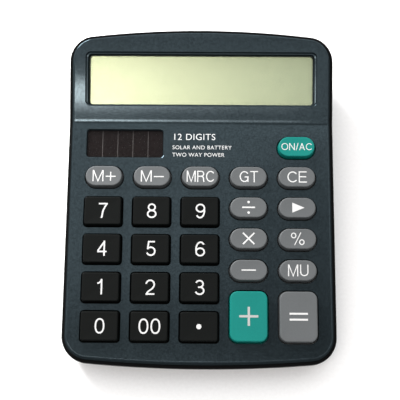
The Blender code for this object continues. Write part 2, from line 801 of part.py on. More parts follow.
def make_bottom_housing():
    outer = [
        level_ring(BASE_INSET, BASE_Z),
        mixed_ring(0.55 * BASE_INSET, 0.22),
        mixed_ring(0.10 * BASE_INSET, 0.65),
        case_ring(0.0, SEAM_DROP + LIP_DEPTH),
        case_ring(0.0, SEAM_DROP + GAP / 2),
    ]
    housing = place(loft("bottom_housing", outer, CREASE_POINTS), BLACK)
    inner = [
        level_ring(BASE_INSET + WALL, FLOOR_Z),
        mixed_ring(0.55 * BASE_INSET + WALL, 0.22),
        mixed_ring(0.10 * BASE_INSET + WALL, 0.65),
        case_ring(WALL, SEAM_DROP + LIP_DEPTH),
        case_ring(WALL, 0.0),
    ]
    cut(housing, loft("bottom_cavity", inner, CREASE_POINTS))

    bosses = [
        (x, y, BASE_Z + WALL / 2, joint_z - GAP / 2, BASE_BOSS_RADIUS)
        for x, y, joint_z in CASE_SCREWS.values()
    ]
    bay_y = (BATTERY_Y - BAY_HALF_WIDTH, BATTERY_Y + BAY_HALF_WIDTH)
    bay_outer_x = BAY_HALF_LENGTH + BAY_END_WALL
    bay_block = box(
        "battery_bay",
        (
            (-bay_outer_x, bay_y[0] - BAY_WALL, BASE_Z + WALL / 2),
            (bay_outer_x, bay_y[1] + BAY_WALL, BAY_TOP_Z + BAY_WALL),
        ),
    )
    join(housing, cylinders("base_bosses", *bosses, steps=12), bay_block)

    past_rear = CASE_DEPTH
    counterbores = [
        (x, y, 0.0, joint_z - GAP / 2 - BOSS_WEB, COUNTERBORE_RADIUS)
        for x, y, joint_z in CASE_SCREWS.values()
    ]
    screw_holes = [
        (x, y, 0.0, joint_z + GAP, SCREW_HOLE_RADIUS)
        for x, y, joint_z in CASE_SCREWS.values()
    ]
    recesses = [
        (x, y, 0.0, BASE_Z + FOOT_RECESS, FOOT_RADIUS + GAP) for x, y in FEET.values()
    ]
    slot_y = (BATTERY_Y - CONTACT_SLOT_HALF_WIDTH, BATTERY_Y + CONTACT_SLOT_HALF_WIDTH)
    slot_z = (CONTACT_SLOT_Z - CONTACT_SLOT_HEIGHT / 2, CONTACT_SLOT_Z + CONTACT_SLOT_HEIGHT / 2)
    slots = []
    for side in (-1, 1):
        slot_x = side * (BAY_HALF_LENGTH + BAY_END_WALL / 2)
        low = (slot_x - BAY_END_WALL, slot_y[0], slot_z[0])
        high = (slot_x + BAY_END_WALL, slot_y[1], slot_z[1])
        slots.append((low, high))
    opening_x = DOOR_HALF_WIDTH + GAP
    tongue_x = opening_x + DOOR_TONGUE
    door_front = DOOR_FRONT_Y - GAP
    bay_cavity = (
        (-BAY_HALF_LENGTH, bay_y[0], DOOR_SLOT_TOP_Z - GAP),
        (BAY_HALF_LENGTH, bay_y[1], BAY_TOP_Z),
    )
    door_opening = (
        (-opening_x, door_front, 0.0),
        (opening_x, past_rear, DOOR_STEP_Z + GAP / 2),
    )
    door_slot = (
        (-tongue_x, door_front, DOOR_STEP_Z),
        (tongue_x, past_rear, DOOR_SLOT_TOP_Z),
    )
    cut(
        housing,
        box("bay_cavity", bay_cavity),
        box("door_opening", door_opening),
        box("door_slot", door_slot),
        cylinders("counterbores", *counterbores, steps=12),
        cylinders("screw_holes", *screw_holes, steps=10),
        cylinders("foot_recesses", *recesses, steps=FINE_STEPS),
        box("contact_slots", *slots),
    )


def make_battery_door():
    """A stepped plate whose side tongues run in the housing's slots."""
    step = DOOR_STEP_Z + GAP
    tongue_top = DOOR_SLOT_TOP_Z - GAP
    panel = (
        (-DOOR_HALF_WIDTH, DOOR_FRONT_Y, BASE_Z),
        (DOOR_HALF_WIDTH, DOOR_REAR_Y, step + 0.2 * MM),
    )
    tongue_x = DOOR_HALF_WIDTH + DOOR_TONGUE
    tongues = (
        (-tongue_x, DOOR_FRONT_Y, step),
        (tongue_x, DOOR_REAR_Y, tongue_top),
    )
    door = place(box("battery_door", panel), BLACK)
    join(door, box("door_tongues", tongues))
    grooves = []
    for i in range(GRIP_RIDGES):
        y = DOOR_REAR_Y - 5.0 * MM - i * GRIP_PITCH
        grooves.append(((-7.0 * MM, y, 0.0), (7.0 * MM, y + 0.5 * GRIP_PITCH, BASE_Z + 0.5 * MM)))
    cut(door, box("grip_grooves", *grooves))


def make_feet():
    top = BASE_Z + FOOT_RECESS - GAP
    profile = (
        (0.0, top),
        (FOOT_RADIUS, top),
        (FOOT_RADIUS, 0.5 * MM),
        (FOOT_RADIUS - 0.5 * MM, 0.0),
        (0.0, 0.0),
    )
    for name, (x, y) in FEET.items():
        place(turned("foot_" + name, profile, FINE_STEPS), FOOT_RUBBER, location=(x, y, 0.0))


# ---------------------------------------------------------------- fasteners


def screw_profile(shank, head, head_height, length):
    """A pan-head screw, head down, with the underside of its head at height 0."""
    return (
        (0.0, length),
        (0.4 * shank, length),
        (shank, length - shank),
        (shank, 0.0),
        (head, 0.0),
        (head, -0.6 * head_height),
        (0.75 * head, -head_height),
        (0.0, -head_height),
    )


def make_screws():
    profile = screw_profile(SHANK_RADIUS, HEAD_RADIUS, HEAD_HEIGHT, SCREW_LENGTH)
    for name, (x, y, joint_z) in CASE_SCREWS.items():
        seat = joint_z - GAP / 2 - BOSS_WEB - GAP
        place(turned("case_screw_" + name, profile, 12), STEEL, location=(x, y, seat))
    profile = screw_profile(
        BOARD_SHANK_RADIUS, BOARD_HEAD_RADIUS, BOARD_HEAD_HEIGHT, BOARD_SCREW_LENGTH
    )
    seat = -BOARD_BOTTOM - GAP
    for number, (x, v) in enumerate(BOARD_SCREWS, 1):
        place(turned(f"board_screw_{number}", profile, 10), STEEL, DECK, (x, v, seat))


# ---------------------------------------------------------------- display and solar cell


def make_display():
    lens = [lens_ring(0.0, z) for z in (-LENS_TOP - LENS_THICKNESS, -LENS_TOP)]
    place(loft("display_lens", lens), CLEAR, DISPLAY)
    glass = box(
        "lcd_panel",
        (
            (-LCD_HALF_WIDTH, LCD_LOW_S, -LCD_TOP - LCD_THICKNESS),
            (LCD_HALF_WIDTH, LCD_HIGH_S, -LCD_TOP - LCD_THICKNESS / 2 + 0.05 * MM),
        ),
    )
    place(glass, LCD_GREEN, DISPLAY)
    front_glass = box(
        "lcd_front_glass",
        (
            (-LCD_HALF_WIDTH, LCD_LOW_S + 2.0 * MM, -LCD_TOP - LCD_THICKNESS / 2),
            (LCD_HALF_WIDTH, LCD_HIGH_S, -LCD_TOP),
        ),
    )
    join(glass, place(front_glass, parent=DISPLAY))
    bracket = box(
        "lcd_bracket",
        (
            (-BRACKET_HALF_WIDTH, BRACKET_LOW_S, -BRACKET_TOP - BRACKET_THICKNESS),
            (BRACKET_HALF_WIDTH, BRACKET_HIGH_S, -BRACKET_TOP),
        ),
    )
    place(bracket, WHITE_PLASTIC, DISPLAY)
    pockets = []
    for i in range(-2, 3):
        x = i * 19.0 * MM
        pockets.append(
            (
                (x - 7.5 * MM, BRACKET_LOW_S + 4.0 * MM, -BRACKET_TOP - 2 * BRACKET_THICKNESS),
                (x + 7.5 * MM, BRACKET_HIGH_S - 4.0 * MM, 0.0),
            )
        )
    cut(bracket, place(box("bracket_pockets", *pockets), parent=DISPLAY))


def make_ribbon():
    """The flexible connector, a thin strip that runs from behind the LCD down to the board."""
    half_width = 40.0 * MM
    thickness = 0.25 * MM
    under_lcd = -LCD_TOP - LCD_THICKNESS - 0.6 * MM
    over_board = -BOARD_TOP + 0.7 * MM
    corners = [
        DISPLAY.matrix_world @ Vector((0, LCD_LOW_S + 3.6 * MM, under_lcd)),
        DISPLAY.matrix_world @ Vector((0, LCD_LOW_S + 0.4 * MM, under_lcd)),
        DECK.matrix_world @ Vector((0, BOARD_REAR_V - 0.3 * MM, over_board)),
        DECK.matrix_world @ Vector((0, BOARD_REAR_V - 2.6 * MM, over_board)),
    ]
    line = smooth_path(corners)
    above = [(0.0, p.y, p.z + thickness / 2) for p in line]
    below = [(0.0, p.y, p.z - thickness / 2) for p in line]
    section = [*above, *reversed(below)]
    rings = [[(x, y, z) for _, y, z in section] for x in (-half_width, half_width)]
    place(loft("lcd_ribbon", rings), RIBBON)


def make_solar_cell():
    cover_bottom = -SOLAR_COVER_TOP - SOLAR_COVER_THICKNESS
    cover = [solar_ring(-GAP, z, SOLAR_CORNER - GAP) for z in (cover_bottom, -SOLAR_COVER_TOP)]
    place(loft("solar_window", cover), CLEAR, DECK)
    top = -DECK_THICKNESS - GAP
    half_x = SOLAR_HALF_WIDTH + SOLAR_MARGIN
    half_v = SOLAR_HALF_LENGTH + SOLAR_MARGIN
    cell = box("solar_cell", ((-half_x, -half_v, top - SOLAR_THICKNESS), (half_x, half_v, top)))
    place(cell, SOLAR_BROWN, DECK, (SOLAR_CENTRE_X, SOLAR_CENTRE_V, 0.0))


# ---------------------------------------------------------------- electronics


def dome_circle(x, y, radius, z):
    turn = [2 * math.pi * (i + 0.5) / DOME_SIDES for i in range(DOME_SIDES)]
    return [(x + radius * math.cos(a), y + radius * math.sin(a), z) for a in turn]


def make_rubber_keypad():
    """A sheet with a hollow dome and a contact pill under each key."""
    outline = [
        (-SHEET_HALF_WIDTH, SHEET_FRONT_V),
        (SHEET_HALF_WIDTH, SHEET_FRONT_V),
        (SHEET_HALF_WIDTH, ON_TAB_REAR_V),
        (ON_TAB_LEFT, ON_TAB_REAR_V),
        (ON_TAB_LEFT, SHEET_REAR_V),
        (-SHEET_HALF_WIDTH, SHEET_REAR_V),
    ]
    sheet = place(plate("rubber_keypad", [outline], -SHEET_BOTTOM, -SHEET_TOP), RUBBER, DECK)
    domes = bmesh.new()
    hollows = bmesh.new()
    pill_bottom = -BOARD_TOP + PILL_GAP
    for column, v, _, _ in KEYS.values():
        x = column * KEY_PITCH_X
        solid = (
            dome_circle(x, v, DOME_BASE_RADIUS + 0.1 * MM, -SHEET_TOP - 0.2 * MM),
            dome_circle(x, v, DOME_TOP_RADIUS, -DOME_TOP),
        )
        add_loft(domes, solid)
        hollow = (
            dome_circle(x, v, DOME_BASE_RADIUS - DOME_WALL, -SHEET_BOTTOM - 1.0 * MM),
            dome_circle(x, v, DOME_BASE_RADIUS - DOME_WALL, -SHEET_TOP),
            dome_circle(x, v, DOME_TOP_RADIUS - 0.3 * MM, -DOME_TOP - 1.2 * MM),
            dome_circle(x, v, PILL_RADIUS, -DOME_TOP - 1.2 * MM),
            dome_circle(x, v, PILL_RADIUS, pill_bottom),
        )
        add_loft(hollows, hollow)
    join(sheet, place(object_from(domes, "key_domes"), parent=DECK))
    cut(sheet, place(object_from(hollows, "dome_hollows"), parent=DECK))


def make_board():
    outline = [
        (-BOARD_NOTCH_LEFT, BOARD_FRONT_V),
        (BOARD_NOTCH_LEFT, BOARD_FRONT_V),
        (BOARD_NOTCH_LEFT, BOARD_NOTCH_V),
        (BOARD_HALF_WIDTH, BOARD_NOTCH_V),
        (BOARD_HALF_WIDTH, BOARD_REAR_V),
        (-BOARD_HALF_WIDTH, BOARD_REAR_V),
        (-BOARD_HALF_WIDTH, BOARD_NOTCH_V),
        (-BOARD_NOTCH_LEFT, BOARD_NOTCH_V),
    ]
    centre_y = CASE_SCREWS["centre"][1]
    boss_v = (centre_y - CREASE_Y) / math.cos(DECK_SLOPE) - BOARD_TOP * math.tan(DECK_SLOPE)
    boss_hole = arc((0.0, boss_v), TOP_BOSS_RADIUS + 0.8 * MM, 0, 2 * math.pi, 14)[:-1]
    holes = [
        arc(centre, BOARD_SHANK_RADIUS + GAP, 0, 2 * math.pi, 8)[:-1] for centre in BOARD_SCREWS
    ]
    place(plate("main_board", [outline, boss_hole, *holes], -BOARD_BOTTOM, -BOARD_TOP), BOARD, DECK)


def make_components():
    under = -BOARD_BOTTOM - GAP
    blob = (
        (0.0, under),
        (6.0 * MM, under),
        (5.6 * MM, under - 0.7 * MM),
        (3.6 * MM, under - 1.5 * MM),
        (0.0, under - 1.8 * MM),
    )
    place(turned("ic_blob", blob), RESIN, DECK, (0.0, -45.0 * MM, 0.0))
    can = (
        (0.0, 3.5 * MM),
        (2.1 * MM, 3.5 * MM),
        (2.5 * MM, 3.1 * MM),
        (2.5 * MM, -3.5 * MM),
        (0.0, -3.5 * MM),
    )
    lying = (0.0, math.radians(90), 0.0)
    can_centre = (16.0 * MM, -24.0 * MM, under - 2.5 * MM)
    place(turned("capacitor", can, 12), CAPACITOR_SLEEVE, DECK, can_centre, lying)
    body = (
        (0.0, 4.5 * MM),
        (0.3 * MM, 4.5 * MM),
        (0.3 * MM, 1.8 * MM),
        (0.9 * MM, 1.6 * MM),
        (0.9 * MM, -1.6 * MM),
        (0.3 * MM, -1.8 * MM),
        (0.3 * MM, -4.5 * MM),
        (0.0, -4.5 * MM),
    )
    resistor_centre = (-17.0 * MM, -27.0 * MM, under - 0.9 * MM)
    place(turned("resistor", body, 8), RESISTOR_BODY, DECK, resistor_centre, lying)


# ---------------------------------------------------------------- battery and wiring

CELL_LEFT_X = -23.7 * MM
CELL_RIGHT_X = CELL_LEFT_X + CELL_LENGTH


def make_battery():
    half = CELL_LENGTH / 2
    profile = (
        (0.0, half + CELL_NUB),
        (CELL_NUB_RADIUS, half + CELL_NUB),
        (CELL_NUB_RADIUS, half),
        (CELL_RADIUS - 0.6 * MM, half),
        (CELL_RADIUS, half - 0.6 * MM),
        (CELL_RADIUS, 0.6 * MM - half),
        (CELL_RADIUS - 0.6 * MM, -half),
        (0.0, -half),
    )
    centre = ((CELL_LEFT_X + CELL_RIGHT_X) / 2, BATTERY_Y, BATTERY_Z)
    cell = turned("battery_cell", profile, FINE_STEPS)
    place(cell, CELL_JACKET, location=centre, rotation=(0.0, math.radians(90), 0.0))


def make_contacts():
    """A sheet-metal plate at the nub and a coil spring at the flat end, each with a tail out of the bay."""
    plate_x = BAY_HALF_LENGTH - GAP - SHEET_METAL
    tail_end = BAY_HALF_LENGTH + BAY_END_WALL + 1.5 * MM
    tail_y = CONTACT_SLOT_HALF_WIDTH - GAP
    contact = place(
        box(
            "battery_plate",
            (
                (plate_x, BATTERY_Y - 6.0 * MM, BATTERY_Z - 6.5 * MM),
                (plate_x + SHEET_METAL, BATTERY_Y + 6.0 * MM, BATTERY_Z + 6.5 * MM),
            ),
        ),
        STEEL,
    )
    tail = (
        (plate_x, BATTERY_Y - tail_y, CONTACT_SLOT_Z - SHEET_METAL / 2),
        (tail_end, BATTERY_Y + tail_y, CONTACT_SLOT_Z + SHEET_METAL / 2),
    )
    join(contact, box("plate_tail", tail))

    coil_radius = CONTACT_SLOT_Z - BATTERY_Z
    start_x = -BAY_HALF_LENGTH + GAP + SPRING_WIRE_RADIUS
    end_x = CELL_LEFT_X - GAP - SPRING_WIRE_RADIUS
    count = round(SPRING_TURNS * SPRING_STEPS)
    coil = []
    for i in range(count + 1):
        share = i / count
        angle = math.pi / 2 + 2 * math.pi * SPRING_TURNS * share
        radius = coil_radius * (1 - 0.35 * share)
        coil.append(
            (
                start_x + (end_x - start_x) * share,
                BATTERY_Y + radius * math.cos(angle),
                BATTERY_Z + radius * math.sin(angle),
            )
        )
    tail_start = (-tail_end, BATTERY_Y, CONTACT_SLOT_Z)
    bend = (start_x - 0.4 * MM, BATTERY_Y + 0.2 * MM, CONTACT_SLOT_Z)
    place(wire("battery_spring", [tail_start, bend, *coil], SPRING_WIRE_RADIUS), STEEL)


def make_wires():
    radius = 0.55 * MM
    reach = BAY_HALF_LENGTH + BAY_END_WALL + 1.5 * MM + GAP
    for name, side, material in (("negative", -1, WIRE_BLACK), ("positive", 1, WIRE_RED)):
        on_board = (side * 22.0 * MM, -14.0 * MM, -BOARD_BOTTOM - GAP - radius)
        board_end = DECK.matrix_world @ Vector(on_board)
        corners = [
            (side * reach, BATTERY_Y, CONTACT_SLOT_Z),
            (side * (reach + 2.0 * MM), BATTERY_Y - 2.0 * MM, CONTACT_SLOT_Z - 0.5 * MM),
            (side * (reach + 2.0 * MM), 46.0 * MM, 12.0 * MM),
            (side * 30.0 * MM, 33.0 * MM, 10.5 * MM),
            (side * 23.0 * MM, 24.0 * MM, board_end.z - 1.2 * MM),
            tuple(board_end),
        ]
        place(wire("wire_battery_" + name, smooth_path(corners, 3), radius), material)
    radius = 0.45 * MM
    high = -DECK_THICKNESS - GAP - SOLAR_THICKNESS - GAP - radius
    low = -BOARD_TOP + GAP + radius
    for name, side, material in (("negative", -1, WIRE_BLACK), ("positive", 1, WIRE_RED)):
        x = SOLAR_CENTRE_X + side * (SOLAR_HALF_WIDTH - 1.0 * MM)
        corners = [
            (x, SOLAR_CENTRE_V - 3.0 * MM, high),
            (x, SOLAR_CENTRE_V + 0.5 * MM, high - 0.2 * MM),
            (x - side * 1.0 * MM, SOLAR_CENTRE_V + 2.2 * MM, (high + low) / 2),
            (x - side * 2.5 * MM, SOLAR_CENTRE_V + 0.5 * MM, low + 0.2 * MM),
            (x - side * 3.0 * MM, SOLAR_CENTRE_V - 3.0 * MM, low),
        ]
        place(wire("wire_solar_" + name, smooth_path(corners, 3), radius), material, DECK)


def smooth_round_pieces():
    """Smooth shading with sharp edges kept, on every mesh part."""
    for obj in PARTS.objects:
        if obj.type == "MESH":
            obj.data.shade_smooth()
            obj.data.set_sharp_from_angle(angle=math.radians(35))


make_top_housing()
make_bottom_housing()
make_battery_door()
make_feet()
make_keys()
make_rubber_keypad()
make_board()
make_components()
make_display()
make_ribbon()
make_solar_cell()
make_battery()
make_contacts()
make_wires()
make_screws()
smooth_round_pieces()
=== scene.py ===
"""The desk calculator's looks: fine housings, keys and legends, display, solar cell, underside and light.

Sizes are in metres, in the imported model's frame. Two sloped frames meet at the crease between the keypad
deck and the display panel: DECK has its Y up the deck and DISPLAY has its Y up the panel. Both have their
Z out of the face. A size named _S is along the panel, one named _V is along the deck.
"""

import math

import bmesh
import bpy
from mathutils import Matrix, Vector
from mathutils.bvhtree import BVHTree


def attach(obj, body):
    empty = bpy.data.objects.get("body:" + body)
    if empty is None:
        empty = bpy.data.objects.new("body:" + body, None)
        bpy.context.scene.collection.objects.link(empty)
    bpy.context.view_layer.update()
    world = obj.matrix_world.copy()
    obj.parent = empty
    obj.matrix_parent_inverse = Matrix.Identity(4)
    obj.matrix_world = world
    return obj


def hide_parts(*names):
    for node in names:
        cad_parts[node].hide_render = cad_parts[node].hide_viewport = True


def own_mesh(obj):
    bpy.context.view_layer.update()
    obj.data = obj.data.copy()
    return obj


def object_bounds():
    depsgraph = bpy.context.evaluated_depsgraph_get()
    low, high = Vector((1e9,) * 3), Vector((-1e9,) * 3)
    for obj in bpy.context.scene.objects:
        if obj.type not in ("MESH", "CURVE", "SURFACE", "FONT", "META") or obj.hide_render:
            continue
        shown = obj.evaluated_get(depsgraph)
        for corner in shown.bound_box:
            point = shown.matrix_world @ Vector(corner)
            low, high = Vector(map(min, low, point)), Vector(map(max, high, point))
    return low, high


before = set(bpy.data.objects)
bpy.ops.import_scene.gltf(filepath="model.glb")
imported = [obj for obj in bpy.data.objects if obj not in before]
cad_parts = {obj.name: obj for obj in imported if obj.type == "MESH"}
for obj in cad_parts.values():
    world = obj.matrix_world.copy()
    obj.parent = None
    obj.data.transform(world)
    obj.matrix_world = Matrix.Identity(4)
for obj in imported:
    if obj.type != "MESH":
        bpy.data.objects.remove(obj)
CAD_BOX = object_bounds()

MM = 0.001
GAP = 0.3 * MM

# Case outline, seen from above, and its side profile
CASE_WIDTH = CAD_BOX[1].x - CAD_BOX[0].x
CASE_DEPTH = CAD_BOX[1].y - CAD_BOX[0].y
FRONT_BULGE_RADIUS = 570.0 * MM
REAR_BULGE_RADIUS = 450.0 * MM
FRONT_CORNER_RADIUS = 11.5 * MM
REAR_CORNER_RADIUS = 11.0 * MM
CREASE_Y = 34.8 * MM
CREASE_Z = 26.0 * MM
DECK_SLOPE = math.radians(6.0)
DISPLAY_SLOPE = math.radians(18.5)
DECK_RISE = math.tan(DECK_SLOPE)
PANEL_RISE = math.tan(DISPLAY_SLOPE)
CREASE_HOLLOW = 0.035  # the deck flattens by this slope towards the crease
FILLET_EASE = 0.030  # the crease's fillet is less steep than the panel by this slope at its turn
PANEL_BOW = 0.024  # half of the slope that the bowed panel loses from crease to rear edge
SEAM_DROP = 2.0 * MM
BASE_Z = 2.0 * MM
DECK_THICKNESS = 2.0 * MM
WALL = 2.0 * MM
RIM_STEP = 1.3 * MM
SKIRT_DRAFT = 0.5 * MM
TOP_EDGE_RADIUS = 0.8 * MM
LIP_DEPTH = 1.5 * MM
LIP_THICKNESS = 0.8 * MM
BASE_INSET = 2.2 * MM
SIDE_CURVE = ((0.55 * BASE_INSET, 0.22), (0.10 * BASE_INSET, 0.65))  # (inset, share of the height)
SEAM_ROUNDING = ((0.04 * MM, 0.3 * MM), (0.12 * MM, 0.1 * MM), (0.30 * MM, 0.0))  # (inset, rise)

# Distances behind the crease. Outside PROFILE_START to PROFILE_END both faces are plain planes.
PROFILE_START = -9.0 * MM
FILLET_START = -2.2 * MM
FILLET_TURN = -0.8 * MM
FILLET_END = 0.6 * MM
PROFILE_END = 35.5 * MM
SLOPE_KNOTS = (
    (PROFILE_START, DECK_RISE),
    (FILLET_START, DECK_RISE - CREASE_HOLLOW),
    (FILLET_TURN, PANEL_RISE - FILLET_EASE),
    (FILLET_END, PANEL_RISE + PANEL_BOW),
    (PROFILE_END, PANEL_RISE - PANEL_BOW),
)
CREASE_RUNS = [run * MM for run in (33, 30, 26, 22, 18, 14, 10, 7, 4, 2, 0.6, 0.25, -0.1, -0.45)]
CREASE_RUNS += [run * MM for run in (-0.8, -1.15, -1.5, -1.85, -2.2, -3.9, -5.6, -7.3, -9.0)]
BULGE_STEPS = 12
CORNER_STEPS = 14

CASE_SCREWS = {
    "front_left": (-48.0 * MM, -66.5 * MM, 6.4 * MM),
    "front_right": (48.0 * MM, -66.5 * MM, 6.4 * MM),
    "centre": (0.0, 22.3 * MM, 11.0 * MM),
    "rear_left": (-47.0 * MM, 34.6 * MM, 15.0 * MM),
    "rear_right": (47.0 * MM, 34.6 * MM, 15.0 * MM),
}
BOSS_RADIUS = 3.35 * MM
COUNTERBORE_RADIUS = 2.5 * MM
SCREW_HOLE_RADIUS = 1.4 * MM
FEET = {
    "front_left": (-40.0 * MM, -61.2 * MM),
    "front_right": (40.0 * MM, -61.2 * MM),
    "rear_left": (-45.5 * MM, 61.0 * MM),
    "rear_right": (45.5 * MM, 61.0 * MM),
}
FOOT_RADIUS = 4.6 * MM
DOOR_HALF_WIDTH = 27.6 * MM
DOOR_FRONT_Y = 49.8 * MM
DOOR_REAR_Y = 70.8 * MM
DOOR_TONGUE = 2.0 * MM
SUNK_Z = BASE_Z + 0.5 * WALL  # bosses and bay walls start inside the floor's thickness
CHAMFER = 0.35 * MM
MOUTH_BOTTOM = BASE_Z - 0.10 * MM  # cutters of chamfered mouths start below the base

# Battery bay and what is cut from it: (half width, (front, rear), (bottom, top))
BAY_WALLS = (31.9 * MM, (49.8 * MM, 68.6 * MM), (SUNK_Z, 21.0 * MM))
BAY_CUTS = {
    "bay_cavity": (27.9 * MM, (51.3 * MM, 67.1 * MM), (3.9 * MM, 19.5 * MM)),
    "door_opening": (27.9 * MM, (49.5 * MM, 90.0 * MM), (0.0, 3.15 * MM)),
    "door_slot": (29.9 * MM, (49.5 * MM, 90.0 * MM), (3.0 * MM, 4.2 * MM)),
    "contact_slots": (33.9 * MM, (57.2 * MM, 61.2 * MM), (14.7 * MM, 16.1 * MM)),
}

# Keys
KEY_HEIGHT = 3.0 * MM
KEY_DRAFT = 0.35 * MM
KEY_EDGE = 0.45 * MM
KEY_DISH = 0.16 * MM
KEY_CLEARANCE = 0.4 * MM
FLANGE_SIDE = 0.9 * MM
FLANGE_END = 0.35 * MM
FLANGE_TOP = DECK_THICKNESS + GAP
FLANGE_BOTTOM = FLANGE_TOP + 1.0 * MM
KEY_SKIN = 1.2 * MM
PLUNGER_RADIUS = 1.7 * MM
PLUNGER_END = FLANGE_BOTTOM + GAP
DOME_TOP = PLUNGER_END + GAP
SHEET_TOP = DOME_TOP + 3.1 * MM
SHEET_BOTTOM = SHEET_TOP + 0.6 * MM
DOME_HOLLOW_RADIUS = 3.4 * MM
SHEET_HALF_WIDTH = 51.3 * MM
SHEET_FRONT_V = -99.6 * MM
SHEET_REAR_V = -20.7 * MM
ON_TAB_LEFT = 32.5 * MM
ON_TAB_REAR_V = -7.2 * MM

# Display
RECESS_HALF_WIDTH = 51.8 * MM
RECESS_LOW_S = 6.5 * MM
RECESS_HIGH_S = 30.6 * MM
RECESS_CORNER = 2.2 * MM
WINDOW_HALF_WIDTH = 50.4 * MM
WINDOW_LOW_S = 7.4 * MM
WINDOW_HIGH_S = 29.5 * MM
WINDOW_CORNER = 1.4 * MM
WINDOW_DEPTH = 3.1 * MM
LEDGE_DEPTH = 1.0 * MM
LEDGE_OUTER = 0.25 * MM
LEDGE_INNER = 0.75 * MM
WELL_DEPTH = 4.6 * MM
WELL_WALL = 1.0 * MM
LENS_OVERLAP = 0.6 * MM
LENS_TOP = WINDOW_DEPTH + GAP
LENS_THICKNESS = 1.0 * MM
LCD_TOP = WELL_DEPTH + GAP
LCD_HALF_WIDTH = 51.6 * MM
LCD_REAR_S = 29.9 * MM
LCD_SPLIT = (6.15 * MM, 6.20 * MM)  # the gap between the front and the rear glass
LCD_BOTTOM = 7.5 * MM
FILM_DEPTH = 0.25 * MM
FILM_HALF_WIDTH = 51.3 * MM
FILM_LOW_S = 6.2 * MM
FILM_HIGH_S = 29.7 * MM

# Solar cell
SOLAR_CENTRE = (-33.8 * MM, -10.8 * MM)
SOLAR_HALF_WIDTH = 17.0 * MM
SOLAR_HALF_LENGTH = 6.25 * MM
SOLAR_CORNER = 1.3 * MM
SOLAR_COVER_TOP = 0.7 * MM
SOLAR_CELLS = 5
SOLAR_LINE = 0.26 * MM
SOLAR_MARGIN = 0.3 * MM

# Camera, set from the keypad's top faces
CAMERA_AIM_V = -37.2 * MM
CAMERA_TILT = math.radians(12.503)
CAMERA_YAW = math.radians(0.671)
CAMERA_ROLL = math.radians(0.541)
CAMERA_DISTANCE = 419.8 * MM
CAMERA_LENS = 86.4

# Studio. The strip is one long lamp in pieces that fade to the right: (from x, to x, watts for each metre).
LAMP_WHITE = (1.0, 0.88, 0.82)
SHEEN_STRIP = (
    (-0.94, -0.31, 5.6),
    (-0.31, -0.24, 5.2),
    (-0.24, -0.17, 4.2),
    (-0.17, -0.09, 2.9),
    (-0.09, 0.03, 1.9),
    (0.03, 0.21, 1.0),
)
STRIP_Y = -0.351
STRIP_Z = 1.80
STRIP_DEPTH = 0.098
SOFTBOX_PLACE = (-0.25, 0.29, 0.25)
SOFTBOX_SIZE = 0.20
SOFTBOX_POWER = 4.1
# The white surroundings: brightness from front to rear, a dim patch above, behind the camera, and a dim
# band that runs overhead from left to right. Edges are cosines and directions' Y, not distances.
BRIGHT_FRONT_TO_REAR = (0.5, 2.0)
DIM_PATCH_TOWARD = (0.14, 0.03, 1.0)
DIM_PATCH_EDGE = (0.986, 0.999)
DIM_PATCH = 0.45
DIM_BAND_SHIFT = 0.04
DIM_BAND_EDGE = (0.02, 0.085)
DIM_BAND = 0.48

DECK = Matrix.Translation((0, CREASE_Y, CREASE_Z)) @ Matrix.Rotation(DECK_SLOPE, 4, "X")
DISPLAY = Matrix.Translation((0, CREASE_Y, CREASE_Z)) @ Matrix.Rotation(DISPLAY_SLOPE, 4, "X")
LEVEL = Matrix.Identity(4)


# ---- materials


# Sockets of a Mix node that mixes colours
MIX_FIRST = 6
MIX_SECOND = 7
MIX_RESULT = 2


def add_node(tree, kind, inputs=(), **settings):
    """A new node; inputs has its sockets by name or number, each with another node's output or a constant."""
    node = tree.nodes.new(kind)
    for name, value in settings.items():
        setattr(node, name, value)
    for socket, value in dict(inputs).items():
        if isinstance(value, bpy.types.NodeSocket):
            tree.links.new(value, node.inputs[socket])
        else:
            node.inputs[socket].default_value = value
    return node


def remap(tree, value, span, result):
    """Goes from one result to the other as value goes through the span."""
    sockets = ("Value", "From Min", "From Max", "To Min", "To Max")
    inputs = zip(sockets, (value, *span, *result))
    return add_node(tree, "ShaderNodeMapRange", inputs).outputs["Result"]


